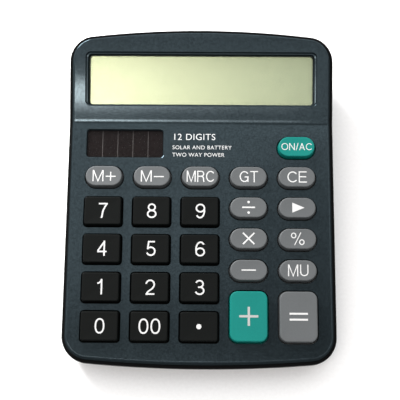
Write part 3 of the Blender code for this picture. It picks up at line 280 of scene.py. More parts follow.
class Nodes:
    """Short names for adding nodes to one material."""

    def __init__(self, name):
        self.material = bpy.data.materials.new(name)
        self.material.use_nodes = True
        self.tree = self.material.node_tree
        self.shader = self.tree.nodes["Principled BSDF"]
        self.place = add_node(self.tree, "ShaderNodeTexCoord").outputs["Object"]

    def link(self, output, socket):
        self.tree.links.new(output, self.shader.inputs[socket])

    def set(self, **values):
        for socket, value in values.items():
            self.shader.inputs[socket.replace("_", " ")].default_value = value

    def noise(self, scale, detail=2.0, roughness=0.5, stretch=None):
        place = self.place
        if stretch:
            mapping = add_node(self.tree, "ShaderNodeMapping", {"Scale": stretch, "Vector": place})
            place = mapping.outputs["Vector"]
        inputs = {"Scale": scale, "Detail": detail, "Roughness": roughness, "Vector": place}
        return add_node(self.tree, "ShaderNodeTexNoise", inputs).outputs["Fac"]

    def cells(self, scale):
        """A random value for each small cell, as for flakes."""
        cells = add_node(self.tree, "ShaderNodeTexVoronoi", {"Scale": scale, "Vector": self.place})
        split = add_node(self.tree, "ShaderNodeSeparateColor", {"Color": cells.outputs["Color"]})
        return split.outputs["Red"]

    def ramp(self, value, stops):
        node = add_node(self.tree, "ShaderNodeValToRGB", {"Fac": value})
        ramp = node.color_ramp
        while len(ramp.elements) < len(stops):
            ramp.elements.new(0.5)
        for element, (position, colour) in zip(ramp.elements, stops):
            element.position = position
            element.color = (*colour, 1.0)
        return node.outputs["Color"]

    def range(self, value, low, high, low_in=0.3, high_in=0.7):
        return remap(self.tree, value, (low_in, high_in), (low, high))

    def steepness(self, flat, steep, low=0.0, high=1.0):
        """Goes from low on a level face to high on a steep one; flat and steep are heights of the normal."""
        normal = add_node(self.tree, "ShaderNodeTexCoord").outputs["Normal"]
        split = add_node(self.tree, "ShaderNodeSeparateXYZ", {"Vector": normal})
        return self.range(split.outputs["Z"], low, high, flat, steep)

    def mix(self, first, second, share=0.5):
        """Mixes two values."""
        inputs = {"Factor": share, "A": first, "B": second}
        return add_node(self.tree, "ShaderNodeMix", inputs).outputs["Result"]

    def blend(self, first, second, share):
        """Mixes two colours."""
        inputs = {"Factor": share, MIX_FIRST: first, MIX_SECOND: second}
        return add_node(self.tree, "ShaderNodeMix", inputs, data_type="RGBA").outputs[MIX_RESULT]

    def bump(self, height, distance):
        inputs = {"Strength": 1.0, "Distance": distance, "Height": height}
        self.link(add_node(self.tree, "ShaderNodeBump", inputs).outputs["Normal"], "Normal")

    def finish(self, pattern, stops, roughness, relief=None, **values):
        """Colour, roughness and, if given, relief that follow one pattern, and the shader's plain values."""
        self.link(self.ramp(pattern, stops), "Base Color")
        self.link(self.range(pattern, *roughness), "Roughness")
        self.set(**values)
        if relief:
            self.bump(pattern, relief)
        return self.material


def tint(colour, factor):
    return tuple(min(channel * factor, 1.0) for channel in colour)


def moulded_plastic(name, colour, roughness, grain=1600.0, depth=0.012 * MM, spread=0.10, shine=0.5):
    """Satin moulded plastic: fine grain, faint cloudiness in its colour and an uneven sheen."""
    nodes = Nodes(name)
    fine = nodes.noise(grain, 3.0)
    mixed = nodes.mix(fine, nodes.noise(55.0, 3.0))
    stops = ((0.35, tint(colour, 1 - spread)), (0.65, tint(colour, 1 + spread)))
    nodes.bump(fine, depth)
    return nodes.finish(mixed, stops, (roughness - 0.05, roughness + 0.05), Specular_IOR_Level=shine)


def slate_plastic():
    """The top housing: dark blue-grey plastic with fine metal flakes. Its colour is darkened on steep faces
    (edges and skirt) as painted shade, and it is less metallic there.
    """
    nodes = Nodes("slate_case_fine")
    colour = (0.0325, 0.0450, 0.0515)
    cloud = nodes.noise(900.0, 4.0, 0.6)
    mixed = nodes.mix(nodes.cells(2600.0), cloud, 0.62)
    on_faces = ((0.25, tint(colour, 0.70)), (0.50, colour), (0.80, tint(colour, 1.40)))
    # Painted shade: steep faces such as the rounded edges and the skirt get a darker colour than level faces.
    steep_face_painted_shade = ((0.25, tint(colour, 0.30)), (0.80, tint(colour, 0.46)))
    edge = nodes.steepness(0.91, 0.55)
    nodes.link(nodes.blend(nodes.ramp(mixed, on_faces), nodes.ramp(mixed, steep_face_painted_shade), edge), "Base Color")
    nodes.link(nodes.range(cloud, 0.085, 0.105), "Roughness")
    nodes.link(nodes.steepness(0.88, 0.60, 0.85, 0.15), "Metallic")
    nodes.set(Specular_IOR_Level=0.0, Specular_Tint=(0.50, 0.50, 0.50, 1.0))
    nodes.bump(nodes.noise(1500.0, 3.0), 0.003 * MM)
    return nodes.material


def spark_eroded_black():
    """The bottom housing: black plastic with the even grain of an eroded mould."""
    nodes = Nodes("black_case_fine")
    grain = nodes.noise(1900.0, 2.0, 0.6)
    stops = ((0.35, (0.0018, 0.0020, 0.0021)), (0.65, (0.0036, 0.0038, 0.0040)))
    return nodes.finish(grain, stops, (0.52, 0.64), 0.030 * MM, Specular_IOR_Level=0.04)


def clear_plastic(name, alpha, tone):
    """A thin clear window. It lets light through by its alpha, so what lies under it stays lit."""
    nodes = Nodes(name)
    stops = ((0.4, tint(tone, 0.92)), (0.6, tone))
    return nodes.finish(nodes.noise(30.0), stops, (0.16, 0.20), Alpha=alpha, Specular_IOR_Level=0.12)


def lcd_film():
    """The panel's front film: pale yellow-green, matt, with a faint mottle."""
    nodes = Nodes("lcd_film")
    stops = ((0.35, (0.350, 0.400, 0.258)), (0.65, (0.377, 0.430, 0.277)))
    nodes.bump(nodes.noise(2600.0), 0.004 * MM)
    return nodes.finish(nodes.noise(260.0, 3.0), stops, (0.23, 0.26), Metallic=0.90, Specular_IOR_Level=0.1)


def solar_film():
    """One strip of the solar cell: dark red-brown with fine clouding."""
    nodes = Nodes("solar_film")
    cloud = nodes.noise(420.0, 4.0, 0.6)
    stops = ((0.35, (0.0018, 0.0010, 0.0009)), (0.65, (0.0030, 0.0016, 0.0015)))
    return nodes.finish(cloud, stops, (0.22, 0.32), 0.004 * MM, Specular_IOR_Level=0.05)


def legend_ink(name, colour):
    """Moulded-in legend: off-white, a little chalky."""
    nodes = Nodes(name)
    return nodes.finish(nodes.noise(1400.0), ((0.35, tint(colour, 0.95)), (0.65, colour)), (0.50, 0.60))


def plated_steel():
    nodes = Nodes("steel_fine")
    brushed = nodes.noise(900.0, 3.0, 0.5, (1.0, 0.15, 1.0))
    stops = ((0.35, (0.50, 0.50, 0.50)), (0.65, (0.62, 0.62, 0.61)))
    return nodes.finish(brushed, stops, (0.24, 0.36), 0.004 * MM, Metallic=1.0)


def circuit_board():
    """Green solder resist over copper tracks that run along and across the board."""
    nodes = Nodes("board_fine")
    tracks = nodes.noise(220.0, 0.0, 0.5, (1.0, 0.12, 1.0))
    stops = ((0.47, (0.020, 0.105, 0.030)), (0.50, (0.050, 0.190, 0.060)), (0.53, (0.022, 0.110, 0.032)))
    return nodes.finish(tracks, stops, (0.30, 0.42), 0.020 * MM)


SLATE = slate_plastic()
BLACK = spark_eroded_black()
KEY_BLACK = moulded_plastic("black_key_fine", (0.0030, 0.0036, 0.0034), 0.50, shine=0.06)
KEY_GREY = moulded_plastic("grey_key_fine", (0.0715, 0.0770, 0.0800), 0.52, spread=0.06, shine=0.40)
KEY_TEAL = moulded_plastic("teal_key_fine", (0.0015, 0.148, 0.126), 0.50, spread=0.06, shine=0.15)
CLEAR_LENS = clear_plastic("display_lens_fine", 0.06, (0.20, 0.21, 0.21))
CLEAR_SOLAR = clear_plastic("solar_window_fine", 0.06, (0.060, 0.050, 0.050))
LCD_FILM = lcd_film()
LCD_GLASS = moulded_plastic("lcd_glass_edge", (0.210, 0.260, 0.200), 0.15, 200.0, 0.002 * MM)
SOLAR_FILM = solar_film()
SOLAR_BACK = moulded_plastic("solar_back", (0.045, 0.040, 0.038), 0.40, 700.0, 0.003 * MM)
INK = legend_ink("legend_ink", (0.52, 0.52, 0.515))
INK_SOFT = legend_ink("legend_ink_soft", (0.33, 0.33, 0.318))
STEEL = plated_steel()
BOARD = circuit_board()
KEYPAD_RUBBER = moulded_plastic("keypad_rubber_fine", (0.30, 0.31, 0.31), 0.80, 1200.0, 0.020 * MM)
FOOT_RUBBER = moulded_plastic("foot_rubber_fine", (0.020, 0.020, 0.021), 0.85, 1300.0, 0.050 * MM)
RESIN = moulded_plastic("resin_fine", (0.012, 0.012, 0.012), 0.22, 260.0, 0.030 * MM)
WHITE_PLASTIC = moulded_plastic("white_plastic_fine", (0.66, 0.66, 0.63), 0.50)
JACKET = moulded_plastic("cell_jacket_fine", (0.060, 0.105, 0.170), 0.30, 900.0, 0.004 * MM)
SLEEVE = moulded_plastic("capacitor_sleeve_fine", (0.015, 0.026, 0.075), 0.35)
RESISTOR = moulded_plastic("resistor_fine", (0.500, 0.380, 0.240), 0.55)
RIBBON = moulded_plastic("ribbon_fine", (0.400, 0.160, 0.035), 0.30, 300.0, 0.004 * MM)
WIRE_RED = moulded_plastic("wire_red_fine", (0.480, 0.020, 0.018), 0.40)
WIRE_BLACK = moulded_plastic("wire_black_fine", (0.015, 0.015, 0.015), 0.40)


# ---- building tools


def add_faces(shape, loops):
    """Joins each ring of points to the next."""
    for near, far in zip(loops, loops[1:]):
        for i in range(len(near)):
            j = (i + 1) % len(near)
            shape.faces.new((near[i], near[j], far[j], far[i]))


def face_out(shape):
    """Turns all faces outwards, also on a body that is mostly hollow."""
    bmesh.ops.recalc_face_normals(shape, faces=shape.faces)
    if shape.calc_volume(signed=True) < 0:
        bmesh.ops.reverse_faces(shape, faces=shape.faces)


def close_flat(shape, loop):
    shape.faces.new(loop)


def loft(rings, close=close_flat):
    """A closed body through rings of equally many points, as a bmesh; close(shape, loop) fills each end."""
    shape = bmesh.new()
    loops = [[shape.verts.new(point) for point in ring] for ring in rings]
    add_faces(shape, loops)
    close(shape, loops[0])
    close(shape, loops[-1])
    face_out(shape)
    return shape


def merged(shapes):
    """One bmesh from several."""
    whole = bmesh.new()
    for shape in shapes:
        data = bpy.data.meshes.new("part_of_whole")
        shape.to_mesh(data)
        shape.free()
        whole.from_mesh(data)
        bpy.data.meshes.remove(data)
    return whole


def cylinder(x, y, low, high, radius, top_radius=None, steps=32):
    shape = bmesh.new()
    bmesh.ops.create_cone(
        shape,
        cap_ends=True,
        segments=steps,
        radius1=radius,
        radius2=radius if top_radius is None else top_radius,
        depth=high - low,
        matrix=Matrix.Translation((x, y, (low + high) / 2)),
    )
    return shape


def block(low, high):
    shape = bmesh.new()
    size = Vector(high) - Vector(low)
    centre = (Vector(high) + Vector(low)) / 2
    bmesh.ops.create_cube(shape, matrix=Matrix.Translation(centre) @ Matrix.Diagonal((*size, 1.0)))
    return shape


def wide_block(half_x, y_span, z_span):
    """A block that is symmetrical about X = 0."""
    return block((-half_x, y_span[0], z_span[0]), (half_x, y_span[1], z_span[1]))


def turns(degrees, steps):
    """Angles from zero up to this one, in even steps."""
    return [math.radians(degrees) * i / steps for i in range(steps + 1)]


def ring_at(outline, z, x=0.0, y=0.0):
    """A flat outline as a ring at a height, moved by x and y."""
    return [(point[0] + x, point[1] + y, z) for point in outline]


def turned(profile, steps=48):
    """A solid of revolution about Z from (radius, z) points; its first and last point are on the axis."""
    around = [2 * math.pi * i / steps for i in range(steps)]
    rings = [[(radius * math.cos(a), radius * math.sin(a), z) for a in around] for radius, z in profile[1:-1]]
    return loft(rings)


def add_object(name, data):
    obj = bpy.data.objects.new(name, data)
    bpy.context.scene.collection.objects.link(obj)
    return obj


def make_object(name, shape, place=LEVEL):
    data = bpy.data.meshes.new(name)
    shape.to_mesh(data)
    shape.free()
    data.transform(place)
    return add_object(name, data)


def evaluated_mesh(obj):
    """A new mesh of the object with its modifiers or text worked out."""
    graph = bpy.context.evaluated_depsgraph_get()
    return bpy.data.meshes.new_from_object(obj.evaluated_get(graph))


def shade(obj, angle=30.0):
    """Smooth shading with flat faces kept flat."""
    obj.data.shade_smooth()
    obj.data.set_sharp_from_angle(angle=math.radians(angle))
    weighted = obj.modifiers.new("even_normals", "WEIGHTED_NORMAL")
    weighted.keep_sharp = True


def carve(target, steps):
    """Applies Boolean steps, each ("DIFFERENCE" or "UNION", helper object), and removes the helpers."""
    for operation, helper in steps:
        boolean = target.modifiers.new(helper.name, "BOOLEAN")
        boolean.operation = operation
        boolean.object = helper
        boolean.solver = "EXACT"
        result = evaluated_mesh(target)
        target.modifiers.clear()
        target.data = result
        bpy.data.objects.remove(helper)
    shape = bmesh.new()
    shape.from_mesh(target.data)
    bmesh.ops.remove_doubles(shape, verts=shape.verts, dist=1e-7)
    bmesh.ops.dissolve_degenerate(shape, edges=shape.edges, dist=1e-7)
    shape.to_mesh(target.data)
    shape.free()


def finish_piece(obj, material, body, slot, *nodes):
    obj.data.materials.clear()
    obj.data.materials.append(material)
    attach(obj, body)
    if nodes:
        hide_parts(*nodes)
    return obj


# ---- outlines


def arc(centre, radius, start, end, steps):
    turn = [start + (end - start) * i / steps for i in range(steps + 1)]
    return [(centre[0] + radius * math.cos(a), centre[1] + radius * math.sin(a)) for a in turn]


def rounded_box(half_x, half_y, radius, steps):
    corners = (
        ((half_x - radius, half_y - radius), 0.0),
        ((radius - half_x, half_y - radius), 0.5 * math.pi),
        ((radius - half_x, radius - half_y), math.pi),
        ((half_x - radius, radius - half_y), 1.5 * math.pi),
    )
    outline = []
    for centre, start in corners:
        outline += arc(centre, radius, start, start + 0.5 * math.pi, steps)
    return outline


def case_corner(end_y, bulge_radius, corner_radius, side):
    """The right corner's centre and angle, and the bulge's middle; side is 1 at the rear, -1 in front."""
    bulge_y = end_y - side * bulge_radius
    x = CASE_WIDTH / 2 - corner_radius
    reach = math.sqrt((bulge_radius - corner_radius) ** 2 - x**2)
    return (x, bulge_y + side * reach), math.atan2(reach, x), bulge_y


def half_outline(inset):
    """The outline's right half, from the middle of the rear round to the middle of the front."""
    end_y = CASE_DEPTH / 2
    rear, rear_angle, rear_bulge_y = case_corner(end_y, REAR_BULGE_RADIUS, REAR_CORNER_RADIUS, 1)
    front, front_angle, front_bulge_y = case_corner(-end_y, FRONT_BULGE_RADIUS, FRONT_CORNER_RADIUS, -1)
    top = math.pi / 2
    half = arc((0, rear_bulge_y), REAR_BULGE_RADIUS - inset, top, rear_angle, BULGE_STEPS)
    half += arc(rear, REAR_CORNER_RADIUS - inset, rear_angle, 0, CORNER_STEPS)[1:]
    side_x = CASE_WIDTH / 2 - inset
    half += [(side_x, CREASE_Y + run) for run in CREASE_RUNS if CREASE_Y + run < rear[1] - 0.5 * MM]
    half += arc(front, FRONT_CORNER_RADIUS - inset, 0, -front_angle, CORNER_STEPS)
    half += arc((0, front_bulge_y), FRONT_BULGE_RADIUS - inset, -front_angle, -top, BULGE_STEPS)[1:]
    return half


def rise_to(run):
    """Height gained from PROFILE_START to this run, with the slope changing evenly between the knots."""
    rise = 0.0
    for (low, slope), (high, next_slope) in zip(SLOPE_KNOTS, SLOPE_KNOTS[1:]):
        span = min(run, high) - low
        if span > 0:
            rise += span * (slope + 0.5 * (next_slope - slope) * span / (high - low))
    return rise


def top_z(y):
    """Height of the top face over the case's outline: a deck, a crease fillet and a bowed panel."""
    run = y - CREASE_Y
    if run <= PROFILE_START:
        return CREASE_Z + run * DECK_RISE
    if run >= PROFILE_END:
        return CREASE_Z + run * PANEL_RISE
    lift = PROFILE_END * PANEL_RISE - PROFILE_START * DECK_RISE - rise_to(PROFILE_END)
    share = min(max((run - FILLET_TURN) / (PROFILE_END - FILLET_TURN), 0.0), 1.0)
    return CREASE_Z + PROFILE_START * DECK_RISE + rise_to(run) + lift * share


def full_ring(inset, height):
    """The whole outline with a height for each y."""
    half = half_outline(inset)
    left = [(-x, y) for x, y in reversed(half[1:-1])]
    return [(x, y, height(y)) for x, y in [*half, *left]]


def case_ring(inset, drop):
    return full_ring(inset, lambda y: top_z(y) - drop)


def share_ring(inset, share):
    """A ring part of the way from the base up to the parting line."""
    return full_ring(inset, lambda y: BASE_Z + (top_z(y) - SEAM_DROP - BASE_Z) * share)


def level_ring(inset, z):
    return full_ring(inset, lambda y: z)


def add_ladder(shape, loop):
    """Closes a case ring with strips that run straight across, so that it can follow the crease."""
    last = len(loop) // 2
    right = loop[: last + 1]
    left = [loop[0], *reversed(loop[last + 1 :]), loop[last]]
    shape.faces.new((right[0], right[1], left[1]))
    for i in range(1, last - 1):
        shape.faces.new((right[i], right[i + 1], left[i + 1], left[i]))
    shape.faces.new((right[last - 1], right[last], left[last - 1]))


def panel_ring(half_width, low, high, corner, z, steps=8):
    return ring_at(rounded_box(half_width, (high - low) / 2, corner, steps), z, y=(low + high) / 2)


def rim_steps(radius, steps=4):
    """(grow, z) for a cutter whose mouth leaves a rounded edge."""
    rim = [(radius * (1 - math.cos(a)), radius * (math.sin(a) - 1)) for a in turns(78, steps)]
    return [*rim, (rim[-1][0], 3 * MM)]


# ---- keys

# (corner radius, corner steps)
KEY_STYLES = {"oval": (4.78 * MM, 8), "digit": (1.3 * MM, 6), "big": (3.6 * MM, 8)}
OVAL_NAMES = "on m_plus m_minus mrc gt ce divide backspace multiply percent subtract mark_up"
OVAL_KEYS = [f"key_{name}" for name in OVAL_NAMES.split()]
BIG_KEYS = ("key_add", "key_equals")
TEAL_KEYS = ("key_on", "key_add")


def key_style(name):
    if name in OVAL_KEYS:
        return "oval"
    return "big" if name in BIG_KEYS else "digit"


def key_look(name):
    """A key's material and slot."""
    if name in TEAL_KEYS:
        return KEY_TEAL, "teal_key"
    if key_style(name) == "digit":
        return KEY_BLACK, "black_key"
    return KEY_GREY, "grey_key"


def deck_box(node):
    """A node's lowest and highest corner in the deck frame."""
    into_deck = DECK.inverted()
    points = [into_deck @ v.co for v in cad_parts[node].data.vertices]
    low = Vector(min(p[i] for p in points) for i in range(3))
    high = Vector(max(p[i] for p in points) for i in range(3))
    return low, high


class Key:
    """Where a key is and how large its foot is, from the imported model."""

    def __init__(self, name):
        low, high = deck_box(name)
        self.name = name
        self.style = key_style(name)
        self.place = Matrix.Translation(((low.x + high.x) / 2, (low.y + high.y) / 2, 0.0))
        self.half_x = (high.x - low.x) / 2 - FLANGE_SIDE
        self.half_y = (high.y - low.y) / 2 - FLANGE_END

    def outline(self, grow_x=0.0, grow_y=None):
        corner, steps = KEY_STYLES[self.style]
        grow_y = grow_x if grow_y is None else grow_y
        radius = max(corner + min(grow_x, grow_y), 0.25 * MM)
        return rounded_box(self.half_x + grow_x, self.half_y + grow_y, radius, steps)

    def ring(self, z, grow_x=0.0, grow_y=None):
        return ring_at(self.outline(grow_x, grow_y), z)

    def plunger(self, z):
        turn = [math.atan2(y, x) for x, y in self.outline()]
        return [(PLUNGER_RADIUS * math.cos(a), PLUNGER_RADIUS * math.sin(a), z) for a in turn]


KEYS = [Key(name) for name in sorted(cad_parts) if name.startswith("key_")]


def keycap(key):
    """Dished top, rounded edge, drafted sides, retaining flange, hollow underside and plunger."""
    edge_in = -KEY_DRAFT - KEY_EDGE
    rings = []
    for share in (0.20, 0.45, 0.70, 0.88):
        z = KEY_HEIGHT - KEY_DISH * (1 - share**2)
        rings.append([(x * share, y * share, z) for x, y in key.outline(edge_in)])
    for turn in turns(84, 5):
        grow = edge_in + KEY_EDGE * math.sin(turn)
        rings.append(key.ring(KEY_HEIGHT - KEY_EDGE * (1 - math.cos(turn)), grow))
    rings.append(key.ring(-FLANGE_TOP))
    rings.append(key.ring(-FLANGE_TOP, FLANGE_SIDE, FLANGE_END))
    rings.append(key.ring(-FLANGE_BOTTOM, FLANGE_SIDE, FLANGE_END))
    rings.append(key.ring(-FLANGE_BOTTOM, -KEY_SKIN))
    rings.append(key.ring(KEY_HEIGHT - KEY_SKIN, -KEY_SKIN - KEY_DRAFT))
    rings.append(key.plunger(KEY_HEIGHT - KEY_SKIN))
    rings.append(key.plunger(-PLUNGER_END))
    return loft(rings)


# ---- legends

# Glyphs are drawn by strokes in a box whose height is 1. STROKE is their line width.
STROKE = 0.100
EDGE = STROKE / 2
INK_LOW = -0.06 * MM
INK_HIGH = 0.035 * MM


def bend(centre, radii, start, end, steps=20):
    """Points of an elliptic arc, in degrees, anticlockwise if end is greater."""
    turn = [math.radians(start + (end - start) * i / steps) for i in range(steps + 1)]
    return [(centre[0] + radii[0] * math.cos(a), centre[1] + radii[1] * math.sin(a)) for a in turn]


def oval(centre, radii, power=2.0, steps=40):
    """A closed rounded loop; a power above 2 squares it up a little."""
    points = []
    for i in range(steps):
        a = 2 * math.pi * i / steps
        across = math.copysign(abs(math.cos(a)) ** (2 / power), math.cos(a))
        up = math.copysign(abs(math.sin(a)) ** (2 / power), math.sin(a))
        points.append((centre[0] + radii[0] * across, centre[1] + radii[1] * up))
    return points


def turned_over(points):
    """A digit's stroke turned half round."""
    return [(DIGIT_WIDTH - x, 1 - y) for x, y in points]


def upright(x, start=0.0, end=1.0):
    return [(x, start), (x, end)]


def level(y, left, right):
    return [(left, y), (right, y)]


def glyph(advance, *open_strokes, closed=()):
    return advance, open_strokes, closed


DIGIT_WIDTH = 0.66
TOP = 1 - EDGE
STEM = upright(0.075)
SIX_BOWL = oval((0.335, 0.305), (0.262, 0.243))
SIX_TAIL = bend((0.355, 0.475), (0.285, 0.462), 196, 42, 24)
ROUND_CENTRE = (0.455, 0.5)
ROUND_RADII = (0.385, 0.437)
EIGHT_LOOPS = [oval((0.33, 0.735), (0.215, 0.203)), oval((0.33, 0.290), (0.264, 0.228))]
SEVEN_LEG = [(0.575, 0.955), (0.435, 0.735), (0.315, 0.45), (0.235, 0.0)]
TWO_NECK = [*bend((0.325, 0.665), (0.258, 0.272), 172, -28, 22), (0.46, 0.40), (0.20, 0.22), (0.105, 0.075)]
R_BOWL = [(0.075, TOP), *bend((0.435, 0.722), (0.215, 0.2155), 90, -90, 14), (0.075, 0.5065)]
R_LEG = [*bend((0.44, 0.30), (0.195, 0.20), 88, 12, 8), (0.645, 0.16), (0.69, 0.0)]
U_BEND = [(0.075, 1.0), (0.075, 0.36), *bend((0.38, 0.36), (0.305, 0.297), 180, 360, 18), (0.685, 1.0)]

GLYPHS = {
    "0": glyph(DIGIT_WIDTH, closed=[oval((0.33, 0.5), (0.262, 0.437), 2.25)]),
    "1": glyph(DIGIT_WIDTH, upright(0.375), [(0.11, 0.715), (0.24, 0.765), (0.335, 0.86), (0.36, 0.97)]),
    "2": glyph(DIGIT_WIDTH, TWO_NECK, level(EDGE, 0.04, 0.60)),
    "3": glyph(
        DIGIT_WIDTH,
        bend((0.315, 0.725), (0.228, 0.212), 160, -90, 22),
        bend((0.325, 0.292), (0.262, 0.229), 90, -164, 24),
        level(0.515, 0.225, 0.345),
    ),
    "4": glyph(DIGIT_WIDTH, upright(0.475), [(0.485, 0.945), (0.065, 0.335)], level(0.285, 0.035, 0.635)),
    "5": glyph(
        DIGIT_WIDTH,
        level(TOP, 0.145, 0.575),
        [(0.178, 0.985), (0.112, 0.455)],
        bend((0.318, 0.325), (0.262, 0.262), 140, -160, 26),
    ),
    "6": glyph(DIGIT_WIDTH, SIX_TAIL, closed=[SIX_BOWL]),
    "7": glyph(DIGIT_WIDTH, level(TOP, 0.04, 0.62), SEVEN_LEG),
    "8": glyph(DIGIT_WIDTH, closed=EIGHT_LOOPS),
    "9": glyph(DIGIT_WIDTH, turned_over(SIX_TAIL), closed=[turned_over(SIX_BOWL)]),
    "M": glyph(0.96, STEM, upright(0.845), [(0.095, 0.985), (0.46, 0.02), (0.825, 0.985)]),
    "R": glyph(0.80, STEM, R_BOWL, R_LEG),
    "C": glyph(0.86, bend(ROUND_CENTRE, ROUND_RADII, 38, 322, 34)),
    "G": glyph(
        0.92,
        bend(ROUND_CENTRE, ROUND_RADII, 36, 318, 34),
        level(0.475, 0.475, 0.835),
        upright(0.775, 0.475, 0.03),
    ),
    "T": glyph(0.76, level(TOP, 0.01, 0.73), upright(0.37, 0, 0.96)),
    "E": glyph(0.76, STEM, level(TOP, 0.05, 0.68), level(0.52, 0.05, 0.64), level(EDGE, 0.05, 0.70)),
    "U": glyph(0.82, U_BEND),
    "O": glyph(0.94, closed=[oval((0.45, 0.5), (0.387, 0.437), 2.1)]),
    "N": glyph(0.84, STEM, upright(0.705), [(0.09, 0.97), (0.69, 0.03)]),
    "A": glyph(0.80, [(0.045, 0), (0.375, 0.985)], [(0.705, 0), (0.375, 0.985)], level(0.33, 0.16, 0.59)),
    "/": glyph(0.36, [(0.03, 0.0), (0.29, 1.0)]),
    "+": glyph(0.86, level(0.45, 0.03, 0.83), upright(0.43, 0.05, 0.85)),
    "-": glyph(0.86, level(0.45, 0.03, 0.83)),
}


def outline_stroke(points, width, closed):
    """The left and right edge of a stroke, with mitred joints."""
    count = len(points)
    left, right = [], []
    for i, (x, y) in enumerate(points):
        before = points[i - 1] if closed or i else points[i]
        after = points[(i + 1) % count] if closed or i < count - 1 else points[i]
        into = Vector((x - before[0], y - before[1]))
        out = Vector((after[0] - x, after[1] - y))
        into = into.normalized() if into.length else out.normalized()
        out = out.normalized() if out.length else into
        along = (into + out).normalized()
        reach = width / 2 / max(along.dot(into), 0.55)
        left.append((x - along.y * reach, y + along.x * reach))
        right.append((x + along.y * reach, y - along.x * reach))
    return left, right


def stroke_solid(points, width, closed=False):
    """A stroke as a thin closed body."""
    left, right = outline_stroke(points, width, closed)
    shape = bmesh.new()
    section = []
    for (lx, ly), (rx, ry) in zip(left, right):
        corners = ((lx, ly, INK_HIGH), (rx, ry, INK_HIGH), (rx, ry, INK_LOW), (lx, ly, INK_LOW))
        section.append([shape.verts.new(corner) for corner in corners])
    if closed:
        section.append(section[0])
    add_faces(shape, section)
    if not closed:
        shape.faces.new(section[0])
        shape.faces.new(section[-1])
    face_out(shape)
    return shape


def dot_solid(radius, y=0.0):
    return cylinder(0.0, y, INK_LOW, INK_HIGH, radius, steps=28)


def word_solids(word, height, width=None, weight=1.0, spacing=0.06):
    """The strokes of a word about the origin, letters height tall and the whole width wide."""
    advance = sum(GLYPHS[letter][0] for letter in word) + spacing * (len(word) - 1)
    natural = advance - 0.09
    squeeze = 1.0 if width is None else width / (natural * height)
    solids = []
    start = -natural / 2 - 0.01
    for letter in word:
        step, open_strokes, closed_strokes = GLYPHS[letter]
        for strokes, closed in ((open_strokes, False), (closed_strokes, True)):
            for points in strokes:
                moved = [((start + x) * height * squeeze, (y - 0.5) * height) for x, y in points]
                solids.append(stroke_solid(moved, STROKE * weight * height, closed))
        start += step + spacing
    return solids


def bar(length, thickness, y=0.0, upright=False):
    """A straight stroke about the middle, or about a height y."""
    half = length / 2
    return stroke_solid([(0.0, -half), (0.0, half)] if upright else [(-half, y), (half, y)], thickness)


def slanted(length, angle, thickness):
    a = math.radians(angle)
    reach = (length / 2 * math.cos(a), length / 2 * math.sin(a))
    ends = [(-reach[0], -reach[1]), reach]
    return stroke_solid(ends, thickness)


def divide_sign():
    dots = [dot_solid(0.56 * MM, side * 2.35 * MM) for side in (-1, 1)]
    return [bar(5.6 * MM, 0.65 * MM), *dots]


def multiply_sign():
    return [slanted(7.0 * MM, side * 45, 0.66 * MM) for side in (-1, 1)]


def percent_sign():
    rings = []
    for x, y in ((-1.75, 1.45), (1.75, -1.45)):
        loop = oval((x * MM, y * MM), (0.95 * MM, 1.05 * MM))
        rings.append(stroke_solid(loop, 0.44 * MM, True))
    return [*rings, slanted(6.2 * MM, 63, 0.38 * MM)]


def arrow_sign():
    corners = ((-2.2 * MM, 2.2 * MM), (-2.2 * MM, -2.2 * MM), (3.1 * MM, 0.0))
    return [loft([ring_at(corners, INK_LOW), ring_at(corners, INK_HIGH)])]


FUNCTION_HEIGHT = 5.1 * MM
DIGIT_HEIGHT = 6.7 * MM

# (word, width, stroke weight)
FUNCTION_WORDS = {
    "key_m_plus": ("M+", 10.0 * MM, 0.95),
    "key_m_minus": ("M-", 10.0 * MM, 0.95),
    "key_mrc": ("MRC", 12.0 * MM, 0.95),
    "key_gt": ("GT", 7.9 * MM, 0.95),
    "key_ce": ("CE", 8.5 * MM, 0.98),
    "key_mark_up": ("MU", 8.9 * MM, 0.90),
}
LEGENDS = {
    "key_on": word_solids("ON/AC", 3.2 * MM, 13.4 * MM),
    "key_divide": divide_sign(),
    "key_backspace": arrow_sign(),
    "key_multiply": multiply_sign(),
    "key_percent": percent_sign(),
    "key_subtract": [bar(6.2 * MM, 0.55 * MM)],
    "key_add": [bar(8.1 * MM, 1.0 * MM), bar(8.1 * MM, 1.0 * MM, upright=True)],
    "key_equals": [bar(7.8 * MM, 0.82 * MM, side * 1.25 * MM) for side in (-1, 1)],
    "key_point": [dot_solid(1.1 * MM)],
    "key_00": word_solids("00", DIGIT_HEIGHT, spacing=0.10),
    **{f"key_{digit}": word_solids(str(digit), DIGIT_HEIGHT) for digit in range(10)},
    **{
        name: word_solids(word, FUNCTION_HEIGHT, width, weight)
        for name, (word, width, weight) in FUNCTION_WORDS.items()
    },
}


def fused(name, solids):
    """One object from overlapping strokes."""
    target = make_object(name, solids[0])
    if len(solids) > 1:
        steps = [("UNION", make_object(f"{name}_stroke", solid)) for solid in solids[1:]]
        carve(target, steps)
    return target


def lay_on(obj, surface):
    """Drops a flat legend onto the key's dished top."""
    for vertex in obj.data.vertices:
        start = Vector((vertex.co.x, vertex.co.y, KEY_HEIGHT + MM))
        hit = surface.ray_cast(start, Vector((0, 0, -1)))[0]
        vertex.co.z += hit.z if hit else KEY_HEIGHT


def make_keys():
    for key in KEYS:
        shape = keycap(key)
        surface = BVHTree.FromBMesh(shape)
        material, slot = key_look(key.name)
        cap = make_object(f"{key.name}_cap", shape, DECK @ key.place)
        finish_piece(cap, material, key.name, slot, key.name)
        shade(cap, 40.0)
        legend = fused(f"{key.name}_legend", LEGENDS[key.name])
        lay_on(legend, surface)
        legend.data.transform(DECK @ key.place)
        finish_piece(legend, INK_SOFT if key.name == "key_add" else INK, key.name, slot)


# ---- top housing


